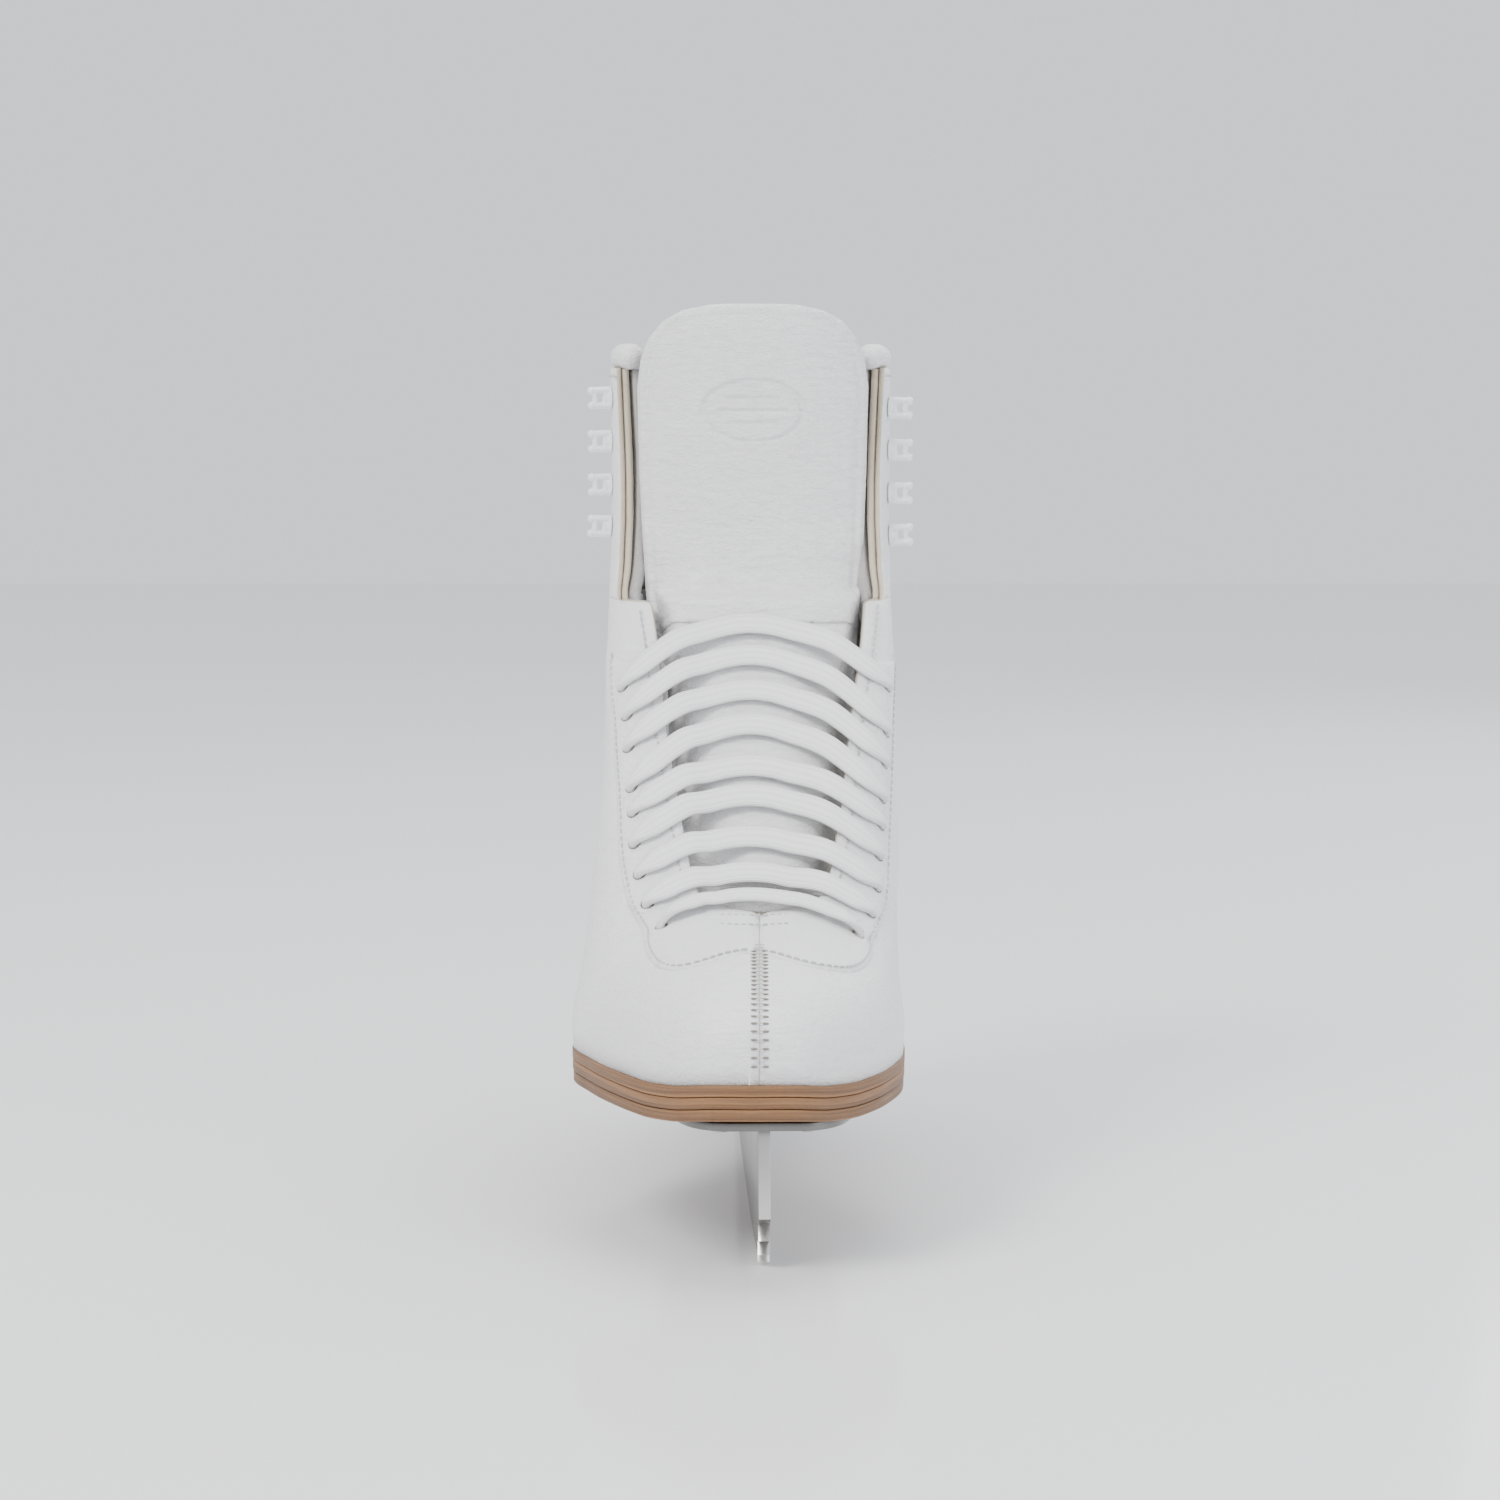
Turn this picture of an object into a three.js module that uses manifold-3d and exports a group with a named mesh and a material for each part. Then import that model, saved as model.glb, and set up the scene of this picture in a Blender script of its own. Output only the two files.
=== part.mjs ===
// A figure skate for the right foot: a laced leather boot with a stacked heel, on a steel blade.
// Millimetres, +Z up. The toe points to -Y and the wearer's outer (lateral) side is at -X.
// The blade's running edge stands on z = 0.
import * as THREE from "three";
import { mergeVertices } from "three/addons/utils/BufferGeometryUtils.js";
import Module from "manifold-3d";

const wasm = await Module();
wasm.setup();

// ---- Driving dimensions ----
const centreX = 0.33; // where the boot's own centre line lies
const toeY = -144.75; // where the tip of the toe lies; "back" below is the distance behind it
const soleTop = 59;
const soleThickness = 11;
const shaftTop = 226; // height of the surface grid above the sole
const tongueTop = 239;
const gap = 0.3; // between pieces that touch
const layerGap = 0.7; // between the boot's curved layers
const leatherThickness = 2;
const liningThickness = 2;
const tongueThickness = 6;
const laceWidth = 7.5;
const laceThickness = 1.1;
const eyeletRadius = 2.6;
const hookBack = 196;
const collarRadius = 4.1;
const bladeThickness = 3.7;
const bladeYaw = 1.77; // degrees, toe towards the inner side
const bladePivot = { x: 4.5, back: 20 };
const solePlate = { bottom: 45, thickness: 2.7 };
const heelPlate = { bottom: 51, thickness: 3 };
const aroundSteps = 32;
const finest = 0.02; // detail smaller than this is left out of a cut solid

// ---- Small helpers ----
// A smooth curve through points that never overshoots them, flat beyond both ends.
function curve(points) {
  const xs = points.map((point) => point[0]);
  const ys = points.map((point) => point[1]);
  const last = xs.length - 1;
  const width = (i) => xs[i + 1] - xs[i];
  const secant = (i) => (ys[i + 1] - ys[i]) / width(i);
  const slopes = xs.map((_, i) => {
    if (i === 0) return secant(0);
    if (i === last) return secant(last - 1);
    const before = secant(i - 1);
    const after = secant(i);
    if (before * after <= 0) return 0;
    const first = 2 * width(i) + width(i - 1);
    const second = width(i) + 2 * width(i - 1);
    return (first + second) / (first / before + second / after);
  });
  return (value) => {
    const x = Math.min(Math.max(value, xs[0]), xs[last]);
    let i = 0;
    while (i < last - 1 && x > xs[i + 1]) i += 1;
    const s = (x - xs[i]) / width(i);
    const a = (2 * s ** 3 - 3 * s ** 2 + 1) * ys[i];
    const b = (s ** 3 - 2 * s ** 2 + s) * width(i) * slopes[i];
    const c = (-2 * s ** 3 + 3 * s ** 2) * ys[i + 1];
    const d = (s ** 3 - s ** 2) * width(i) * slopes[i + 1];
    return a + b + c + d;
  };
}

const clamp = (value) => Math.min(Math.max(value, 0), 1);

// A quarter of a rounded corner: 0 at the start, 1 once the corner is passed.
const corner = (part, power) => (1 - (1 - clamp(part)) ** power) ** (1 / power);

function solidOf(geometry) {
  const loose = geometry.index ? geometry.toNonIndexed() : geometry;
  const bare = new THREE.BufferGeometry();
  bare.setAttribute("position", loose.getAttribute("position"));
  const merged = mergeVertices(bare, 1e-4);
  const mesh = new wasm.Mesh({
    numProp: 3,
    vertProperties: merged.attributes.position.array,
    triVerts: new Uint32Array(merged.index.array),
  });
  return new wasm.Manifold(mesh);
}

function geometryOf(solid) {
  const mesh = solid.getMesh();
  const geometry = new THREE.BufferGeometry();
  const positions = new Float32Array(mesh.vertProperties);
  geometry.setAttribute("position", new THREE.BufferAttribute(positions, 3));
  geometry.setIndex(new THREE.BufferAttribute(new Uint32Array(mesh.triVerts), 1));
  geometry.computeVertexNormals();
  return geometry;
}

// A closed body through rings of points, with a fan over each end ring.
function loft(rings) {
  const count = rings[0].length;
  const points = rings.flat();
  const faces = [];
  for (let i = 0; i + 1 < rings.length; i += 1) {
    for (let j = 0; j < count; j += 1) {
      const a = i * count + j;
      const b = i * count + ((j + 1) % count);
      faces.push(a, b, b + count, a, b + count, a + count);
    }
  }
  const centreOf = (ring) => {
    const sum = ring.reduce((total, point) => total.add(point), new THREE.Vector3());
    return sum.divideScalar(count);
  };
  const start = points.push(centreOf(rings[0])) - 1;
  const end = points.push(centreOf(rings.at(-1))) - 1;
  const top = (rings.length - 1) * count;
  for (let j = 0; j < count; j += 1) {
    const next = (j + 1) % count;
    faces.push(start, next, j);
    faces.push(end, top + j, top + next);
  }
  const geometry = new THREE.BufferGeometry().setFromPoints(points);
  geometry.setIndex(faces);
  return geometry;
}

function shapeOf(points) {
  return new THREE.Shape(points.map((point) => new THREE.Vector2(point[0], point[1])));
}

function extrude(shape, depth, curveSegments = 6) {
  return new THREE.ExtrudeGeometry(shape, { depth, bevelEnabled: false, curveSegments });
}

// Prisms for cutting, each from an outline seen from above, from the front or from the side.
function prismFromAbove(points, low, high) {
  return solidOf(extrude(shapeOf(points), high - low).translate(0, 0, low));
}

function prismFromFront(points, frontBack, rearBack) {
  const turn = new THREE.Matrix4();
  turn.set(1, 0, 0, centreX, 0, 0, -1, toeY + rearBack, 0, 1, 0, 0, 0, 0, 0, 1);
  return solidOf(extrude(shapeOf(points), rearBack - frontBack).applyMatrix4(turn));
}

function prismFromSide(points, left, right) {
  const turn = new THREE.Matrix4();
  turn.set(0, 0, 1, left, 1, 0, 0, toeY, 0, 1, 0, 0, 0, 0, 0, 1);
  return solidOf(extrude(shapeOf(points), right - left).applyMatrix4(turn));
}

// ---- The boot's surface ----
// "back" runs from the tip of the toe to the heel, "level" from the sole's top upwards.
const topProfile = [
  [0, 6], [0.6, 11], [2.5, 17], [7, 22.5], [14, 27.5], [24, 32], [37, 36], [54, 39.5], [70, 42.5],
  [84, 46], [93, 54], [100, 62], [117, 81], [134, 100], [150, 120], [158, 132], [163, 145],
  [166, 165], [170, 500], [176, 3000],
];
const topOf = curve(topProfile);
const heelBack = curve([
  [0, 279], [12, 282], [28, 283], [50, 281], [75, 275], [100, 270.5], [130, 268], [160, 267],
  [226, 270],
]);
const soleLift = curve([
  [0, 3.3], [12, 1], [26, 0], [118, 0], [140, 4], [175, 19], [215, 36], [250, 41], [285, 42],
]);
const liftKept = curve([[0, 1], [226, 0]]);
const soleWidth = {
  lateral: curve([
    [0, 0], [1.2, 11], [5, 17.5], [16, 27], [38, 40], [63, 50.5], [87, 57], [105, 55.5], [130, 46],
    [165, 37], [200, 35.5], [235, 35.5], [285, 34],
  ]),
  medial: curve([
    [0, 0], [1, 12], [5, 19], [10, 23.5], [24, 33.5], [43, 42.5], [69, 48.7], [87, 49.5], [105, 48],
    [130, 41], [165, 33], [200, 33.5], [235, 35], [285, 34],
  ]),
};
const upperWidth = {
  lateral: curve([[0, 57], [87, 57.5], [110, 57], [130, 55], [150, 51.5], [175, 48.6], [285, 48.2]]),
  medial: curve([[0, 50], [87, 50.5], [110, 53], [130, 53], [150, 51.2], [175, 48.8], [285, 48.2]]),
};
const upperShare = curve([[0, 0], [20, 0.3], [60, 0.95], [90, 1], [226, 1]]);
const frontRounding = curve([[0, 1.5], [46, 4], [90, 18], [120, 30], [145, 42], [226, 42]]);
const heelRounding = curve([[0, 40], [30, 46], [100, 66], [226, 66]]);
const forwardLean = curve([[0, 0], [165, 0], [226, -6]]);
// The section's arch flattens out towards the shaft, whose front is a wall and not a roof.
const archRelief = curve([[0, 1], [95, 1], [120, 1.15], [150, 1.5], [165, 2.5], [176, 20]]);
// How thick the stiffeners and padding between leather and lining are, by level.
const paddingThickness = curve([[0, 1.2], [112, 1.2], [150, 4.6], [226, 4.6]]);

const sides = { lateral: -1, medial: 1 };

// The front profile pushed inwards by a depth that may change with the level.
function insetProfile(depthAt) {
  const samples = [];
  for (let i = 0; i <= 90; i += 1) {
    const t = i / 90;
    const back = t < 0.5 ? 50 * (2 * t) ** 2 : 50 + 118 * (2 * t - 1);
    samples.push([back, topOf(back)]);
  }
  samples.push([170, 500], [176, 3000]);
  return samples.map(([back, level], i) => {
    const [x0, y0] = samples[Math.max(i - 1, 0)];
    const [x1, y1] = samples[Math.min(i + 1, samples.length - 1)];
    const length = Math.hypot(x1 - x0, y1 - y0);
    const depth = depthAt(Math.min(level, tongueTop));
    return [back + (depth * (y1 - y0)) / length, level - (depth * (x1 - x0)) / length];
  });
}

function lookUp(samples, from, to, value) {
  if (value <= samples[0][from]) return samples[0][to];
  for (let i = 1; i < samples.length; i += 1) {
    if (value > samples[i][from]) continue;
    const step = samples[i][from] - samples[i - 1][from];
    const part = step > 1e-9 ? (value - samples[i - 1][from]) / step : 0;
    return samples[i - 1][to] + part * (samples[i][to] - samples[i - 1][to]);
  }
  return samples.at(-1)[to];
}

// One skin of the boot at a depth below its outer surface.
class Skin {
  constructor(depthAt) {
    this.depthAt = depthAt;
    this.profile = insetProfile(depthAt);
  }

  frontAt(level) {
    return lookUp(this.profile, 1, 0, level);
  }

  halfWidth(side, back, level) {
    const height = lookUp(this.profile, 0, 1, back);
    const front = this.frontAt(level);
    const share = upperShare(level);
    const low = soleWidth[side](back);
    const wide = back < 87 ? low : low * (1 - share) + upperWidth[side](back) * share;
    const bulge = 1 + 0.012 * Math.exp(-(((level - 9) / 8) ** 2));
    const arch = (1 - clamp(level / (height * archRelief(back))) ** 3) ** (1 / 2.3);
    const plan = corner((back - front) / frontRounding(level), 2.5);
    const heel = corner(
      (heelBack(level) - this.depthAt(level) - back) / heelRounding(level),
      2.3,
    );
    const crown = (Math.max(arch, 1e-4) ** -5 + Math.max(plan, 1e-4) ** -5 - 1) ** -0.2;
    return Math.max(wide * bulge - this.depthAt(level), 0) * crown * heel;
  }

  // A point by its distance behind the toe and its level.
  place(side, back, level) {
    const x = centreX + sides[side] * this.halfWidth(side, back, level);
    const z = soleTop + level + soleLift(back) * liftKept(level);
    return new THREE.Vector3(x, toeY + back + forwardLean(level), z);
  }

  // A ring runs from the front centre round the medial side to the heel and back. Its points
  // crowd together at both ends, where it turns most.
  ring(level, shift = 0) {
    const front = this.frontAt(level);
    const heel = heelBack(level) - this.depthAt(level);
    const half = aroundSteps / 2;
    const points = [];
    for (let i = 0; i < aroundSteps; i += 1) {
      const part = i <= half ? i / half : (aroundSteps - i) / half;
      const start = part ** 2.1;
      const back = front + ((heel - front) * start) / (start + (1 - part) ** 2);
      const point = this.place(i <= half ? "medial" : "lateral", back, level);
      points.push(point.setZ(point.z + shift));
    }
    return points;
  }

  // How far back the front surface lies at a distance from the centre line.
  backAt(side, offset, level) {
    let low = this.frontAt(level);
    let high = 205;
    for (let i = 0; i < 30; i += 1) {
      const middle = (low + high) / 2;
      if (this.halfWidth(side, middle, level) < offset) low = middle;
      else high = middle;
    }
    return high;
  }

  solid(levels, overrun = 0) {
    const rings = levels.map((level) => this.ring(level));
    if (overrun) {
      rings.unshift(this.ring(levels[0], -overrun));
      rings.push(this.ring(levels.at(-1), overrun));
    }
    return solidOf(loft(rings));
  }
}

const leatherSkin = new Skin(() => 0);
const leatherInside = new Skin(() => leatherThickness);
const paddingDepth = leatherThickness + 0.3 + layerGap;
const paddingSkin = new Skin(() => paddingDepth);
const paddingInside = new Skin((level) => paddingDepth + paddingThickness(level));
const liningDepth = (level) => paddingDepth + paddingThickness(level) + layerGap;
const liningSkin = new Skin(liningDepth);
const liningInside = new Skin((level) => liningDepth(level) + liningThickness);

const wallLevels = [
  10, 20, 28, 34, 38, 41.5, 45, 49, 55, 64, 76, 89, 102, 115, 129, 148, 178, shaftTop,
];

function shell(outside, inside, lowest) {
  const levels = [lowest, ...wallLevels];
  return outside.solid(levels).subtract(inside.solid(levels, 4));
}

// ---- Outlines that cut the shells ----
const throatLateral = [
  [-17.2, 109], [-19.6, 116.5], [-23.8, 135.7], [-28, 158], [-31.5, 184.9], [-34.7, 201],
];
const throatMedial = [
  [24.7, 109], [26.7, 116], [30.4, 135.2], [33.6, 159.2], [38, 184], [40.2, 201],
];
const flexNotch = { back: 177, height: 197.5 };
const flapFront = [[177, 197.5], [181, 202], [185, 212], [186.5, 226], [186.5, 310]];
const topLine = curve([[165, 276.5], [200, 276], [230, 273.5], [262, 268], [285, 267]]);
const hingeHeight = { lateral: 228.75, medial: 225.75 }; // at hookBack
const hingeSlope = 1.49; // rise per millimetre back
const seamX = centreX + 3;

// The throat from the front, widened on both sides by an amount.
function throatOutline(widen) {
  const left = throatLateral.map(([x, z]) => [x - widen, z]);
  const right = throatMedial.map(([x, z]) => [x + widen, z]);
  const low = 1.2 * widen;
  const bottom = [[-13 - widen, 105.5 - low], [4, 103.5 - low], [20 + 1.25 * widen, 105 - low]];
  return [...bottom, ...right, ...left.reverse()];
}

function throatCutter(widen) {
  const lower = prismFromFront(throatOutline(widen), -20, 205);
  const setBack = widen * 0.2;
  const front = flapFront.map(([back, z]) => [back + setBack, z]);
  const opening = [[-20, flexNotch.height - setBack], ...front, [-20, 310]];
  return lower.add(prismFromSide(opening, -90, 90));
}

function belowTopLine(raise = 0) {
  const spots = [150, 186, 200, 215, 230, 246, 262, 290];
  const line = spots.map((back) => [back, topLine(back) + raise]);
  return prismFromSide([[-20, 0], [300, 0], ...line.reverse(), [-20, 280]], -90, 90);
}

// The flap's side of its hinge line; a positive margin moves the line back.
function flapSide(side, margin) {
  const shift = margin * Math.hypot(1, 1 / hingeSlope);
  const backAt = (z) => hookBack + (z - hingeHeight[side]) / hingeSlope + shift;
  const outline = [[backAt(190), 190], [backAt(300), 300], [120, 300], [120, 190]];
  const [low, high] = side === "lateral" ? [-90, centreX] : [centreX, 90];
  return prismFromSide(outline, low, high);
}

// One side of the boot, a margin away from the seam along its middle.
function halfSpace(side, margin) {
  const near = seamX + sides[side] * margin;
  const far = sides[side] * 90;
  const [left, right] = [Math.min(near, far), Math.max(near, far)];
  return prismFromAbove([[left, -160], [right, -160], [right, 160], [left, 160]], 0, 320);
}

// ---- Collecting the meshes ----
const skate = new THREE.Group();
const finishes = {
  leather: { color: 0xe6e4df, roughness: 0.42, metalness: 0 },
  lining: { color: 0xb9b6b1, roughness: 0.95, metalness: 0 },
  padding: { color: 0xd8cfae, roughness: 0.95, metalness: 0 },
  board: { color: 0xb0835c, roughness: 0.6, metalness: 0 },
  lace: { color: 0xf2f1ee, roughness: 0.85, metalness: 0 },
  enamel: { color: 0xe9e8e4, roughness: 0.35, metalness: 0 },
  steel: { color: 0xb6b3ae, roughness: 0.28, metalness: 1 },
  plastic: { color: 0xe8e8e6, roughness: 0.3, metalness: 0 },
};

function addMesh(name, geometry, finish, parent = skate) {
  const mesh = new THREE.Mesh(geometry, new THREE.MeshStandardMaterial(finishes[finish]));
  mesh.name = name;
  parent.add(mesh);
  return mesh;
}

// Keeps the largest body of a cut, so that no sliver stays beside it.
function largest(solid) {
  const bodies = solid.decompose();
  return bodies.reduce((best, body) => (body.volume() > best.volume() ? body : best));
}

function addSolid(name, solid, finish) {
  return addMesh(name, geometryOf(largest(solid.simplify(finest))), finish);
}

// ---- Eyelets and hooks ----
// Each eyelet by its distance from the centre line and its level, from the top row down.
const eyeletRows = {
  lateral: [
    [42.5, 107], [41, 99.5], [40.3, 91], [38.9, 80], [38.2, 72.6], [37.6, 63.2], [35.8, 54],
    [33, 45.5], [28.2, 40.2],
  ],
  medial: [
    [46, 106], [45.4, 94], [44.6, 85.6], [43.6, 75.9], [42.9, 68.2], [42, 59], [41.2, 49.6],
    [38.8, 42.2], [34.5, 37],
  ],
};
const rowLevels = [128.4, 119.1, 109.2, 99.4, 87.9, 79.1, 66.9, 56.3, 47.2]; // at the centre
const bottomRow = rowLevels.length - 1;
const hookHeights = { lateral: [266, 251, 236, 221.5], medial: [262.5, 248, 233, 218.5] };

function normalAt(side, back, level) {
  const ahead = leatherSkin.place(side, back - 1, level);
  const behind = leatherSkin.place(side, back + 1, level);
  const below = leatherSkin.place(side, back, level - 1);
  const above = leatherSkin.place(side, back, level + 1);
  const normal = behind.sub(ahead).cross(above.sub(below)).normalize();
  return normal.multiplyScalar(side === "lateral" ? -1 : 1);
}

// A point over (or, with a negative height, under) the leather's outer surface.
function overLeather(side, back, level, height) {
  const point = leatherSkin.place(side, back, level);
  return point.addScaledVector(normalAt(side, back, level), height);
}

// The same, found by its distance from the centre line; a negative offset is lateral.
function overFront(offset, level, height) {
  const side = offset < 0 ? "lateral" : "medial";
  const back = leatherSkin.backAt(side, Math.max(Math.abs(offset), 0.5), level);
  const point = overLeather(side, back, level, height);
  return Math.abs(offset) < 0.5 ? point.setX(centreX + offset) : point;
}

// A frame on the surface: the point, the outward normal, the direction up the instep,
// and the direction towards the throat.
function surfaceFrame(side, back, level) {
  const point = leatherSkin.place(side, back, level);
  const normal = normalAt(side, back, level);
  const slope = new THREE.Vector3(0, 0.66, 0.75);
  const up = slope.addScaledVector(normal, -slope.dot(normal)).normalize();
  const inward = new THREE.Vector3().crossVectors(up, normal).normalize();
  if (inward.x * sides[side] > 0) inward.negate();
  return { point, normal, up, inward };
}

const eyelets = {};
for (const side of Object.keys(sides)) {
  eyelets[side] = eyeletRows[side].map(([offset, level]) =>
    surfaceFrame(side, leatherSkin.backAt(side, offset, level), level),
  );
}

function eyeletHoles(side) {
  const turn = new THREE.Quaternion();
  const yAxis = new THREE.Vector3(0, 1, 0);
  return eyelets[side].map(({ point, normal }) => {
    turn.setFromUnitVectors(yAxis, normal);
    const drill = new THREE.CylinderGeometry(eyeletRadius, eyeletRadius, 14, 8);
    drill.applyQuaternion(turn).translate(point.x, point.y, point.z);
    return solidOf(drill);
  });
}

// ---- Lace: one flat ribbon through every eyelet, straight across each row ----
const stations = [];
const ribbon = { width: laceWidth, thick: laceThickness };
const gathered = { width: 5, thick: 1.4 };
const pinched = { width: 3.2, thick: 2.2 };
const hiddenDepth = curve([[38, 8.4], [52, 7.9], [70, 6.9], [110, 6.7]]); // by level

function addStation(point, across, section = ribbon) {
  stations.push({ point, across, section });
}

const barHeight = { low: -1.3, high: 2 };

// The bar lies on the leather beside each eyelet and on the tongue in between.
function addBar(row, from) {
  const start = eyelets[from][row];
  const other = from === "lateral" ? "medial" : "lateral";
  const end = eyelets[other][row];
  const levels = { [from]: eyeletRows[from][row][1], [other]: eyeletRows[other][row][1] };
  const count = 14;
  for (let i = 1; i < count; i += 1) {
    const t = i / count;
    const x = start.point.x + (end.point.x - start.point.x) * t - centreX;
    const near = x < 0 ? "lateral" : "medial";
    const edgeX = Math.abs((near === from ? start : end).point.x - centreX);
    const part = clamp(Math.abs(x) / edgeX);
    const level = rowLevels[row] + (levels[near] - rowLevels[row]) * part ** 2;
    const rest = row === bottomRow ? 1.2 : clamp((part - 0.36) / 0.2);
    const height = barHeight.low + (barHeight.high - barHeight.low) * rest;
    const across = start.up.clone().lerp(end.up, t).normalize();
    addStation(overFront(x, level, height), across, part > 0.88 ? gathered : ribbon);
  }
}

// Through the eyelet: inward ends with the ribbon turned to run up along the facing.
function addPass(side, row, inward) {
  const { point, normal, up, inward: throatward } = eyelets[side][row];
  const steps = [
    [1.4, up, pinched],
    [-1.6, up.clone().add(throatward).normalize(), pinched],
    [-5.8, throatward, pinched],
  ];
  if (!inward) steps.reverse();
  steps.forEach(([height, across, section]) => {
    addStation(point.clone().addScaledVector(normal, height), across, section);
  });
}

function addRun(side, fromRow, toRow) {
  const from = eyelets[side][fromRow];
  const to = eyelets[side][toRow];
  const [startOffset, startLevel] = eyeletRows[side][fromRow];
  const [endOffset, endLevel] = eyeletRows[side][toRow];
  [0.3, 0.5, 0.7].forEach((t) => {
    const offset = sides[side] * (startOffset + (endOffset - startOffset) * t);
    const level = startLevel + (endLevel - startLevel) * t;
    const point = overFront(offset, level, -hiddenDepth(level));
    addStation(point, from.inward.clone().lerp(to.inward, t).normalize());
  });
}

// A tail hangs inside the shaft, behind the eyelets, along the lining.
const tailSkin = new Skin((level) => liningInside.depthAt(level) + 3);
const tailPath = [[196, 121], [205, 117], [211, 107], [214, 95], [216, 82]];

function tailPoints(side) {
  const crossing = [[177, 112, -6.4], [184, 116, -7.8]].map(([back, level, height]) =>
    overLeather(side, back, level, height),
  );
  return [...crossing, ...tailPath.map(([back, level]) => tailSkin.place(side, back, level))];
}

// The lateral end runs from its tail straight down to the bottom eyelet, behind the facing.
function addLongRun() {
  const offsets = [9, 8.2, 8.2, 8.2, 8.2, 8.2, 7.8, 5];
  const mixed = (list, at) => {
    const row = Math.min(Math.floor(at), offsets.length - 2);
    return list[row] + (list[row + 1] - list[row]) * (at - row);
  };
  const edges = eyelets.lateral.map(({ point }) => centreX - point.x);
  const levels = eyeletRows.lateral.map(([, level]) => level);
  for (let at = 0; at <= offsets.length - 1; at += 0.5) {
    const edge = mixed(edges, at);
    const part = 1 - mixed(offsets, at) / edge;
    const centre = mixed(rowLevels, at);
    const level = centre + (mixed(levels, at) - centre) * part ** 2;
    const point = overFront(part * -edge, level, -hiddenDepth(level));
    addStation(point, eyelets.lateral[Math.round(at)].inward);
  }
}

function addTail(side, towardsEnd) {
  const points = tailPoints(side);
  const wide = points.map((point, i) => {
    const before = points[Math.max(i - 1, 0)];
    const after = points[Math.min(i + 1, points.length - 1)];
    const along = after.clone().sub(before).normalize();
    const outward = new THREE.Vector3(sides[side], 0, 0);
    return new THREE.Vector3().crossVectors(along, outward).normalize();
  });
  const order = points.map((_, i) => (towardsEnd ? i : points.length - 1 - i));
  order.forEach((i) => addStation(points[i], wide[i].z < 0 ? wide[i].negate() : wide[i]));
}

addTail("lateral", false);
addLongRun();
for (let row = bottomRow; row >= 0; row -= 1) {
  const from = (bottomRow - row) % 2 === 0 ? "lateral" : "medial";
  const to = from === "lateral" ? "medial" : "lateral";
  addPass(from, row, false);
  addBar(row, from);
  addPass(to, row, true);
  if (row > 0) addRun(to, row, row - 1);
}
addTail("medial", true);

// The ribbon's rings, with its section grown on every side by a margin.
function ribbonRings(margin) {
  let last = null;
  return stations.map(({ point, across, section }, i) => {
    const before = stations[Math.max(i - 1, 0)].point;
    const after = stations[Math.min(i + 1, stations.length - 1)].point;
    const along = after.clone().sub(before).normalize();
    const wide = across.clone().addScaledVector(along, -across.dot(along)).normalize();
    if (last && wide.dot(last) < -0.2) wide.negate();
    last = wide;
    const thick = new THREE.Vector3().crossVectors(along, wide);
    return [[1, 1], [-1, 1], [-1, -1], [1, -1]].map(([a, b]) => {
      const corner = point.clone().addScaledVector(wide, a * (section.width / 2 + margin));
      return corner.addScaledVector(thick, b * (section.thick / 2 + margin));
    });
  });
}

addMesh("lace", loft(ribbonRings(0)), "lace");
const laceRoom = solidOf(loft(ribbonRings(0.25)));

const aglet = { radius: 1.7, length: 20 };
for (const side of Object.keys(sides)) {
  const [before, end] = tailPoints(side).slice(-2);
  const along = end.clone().sub(before).normalize();
  const body = new THREE.CylinderGeometry(aglet.radius, aglet.radius, aglet.length, 8);
  const mesh = addMesh(`aglet_${side}`, body, "plastic");
  mesh.quaternion.setFromUnitVectors(new THREE.Vector3(0, 1, 0), along);
  mesh.position.copy(end).addScaledVector(along, aglet.length / 2 + gap);
}

// ---- Upper ----
const leatherShell = shell(leatherSkin, leatherInside, 1.2).intersect(belowTopLine());
const middleShell = shell(paddingSkin, paddingInside, 4.3).intersect(belowTopLine(-1));
const liningShell = shell(liningSkin, liningInside, 4.3).intersect(belowTopLine());

const sideWedge = (points) => prismFromSide(points, -90, 90);

// The band that carries the eyelets on both sides of the throat.
const eyeletBand = prismFromFront(throatOutline(24), -20, 200).intersect(
  sideWedge([[58, 76], [82, 76], [100, 94], [184, 168], [190, 196], [58, 196]]),
);

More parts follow.
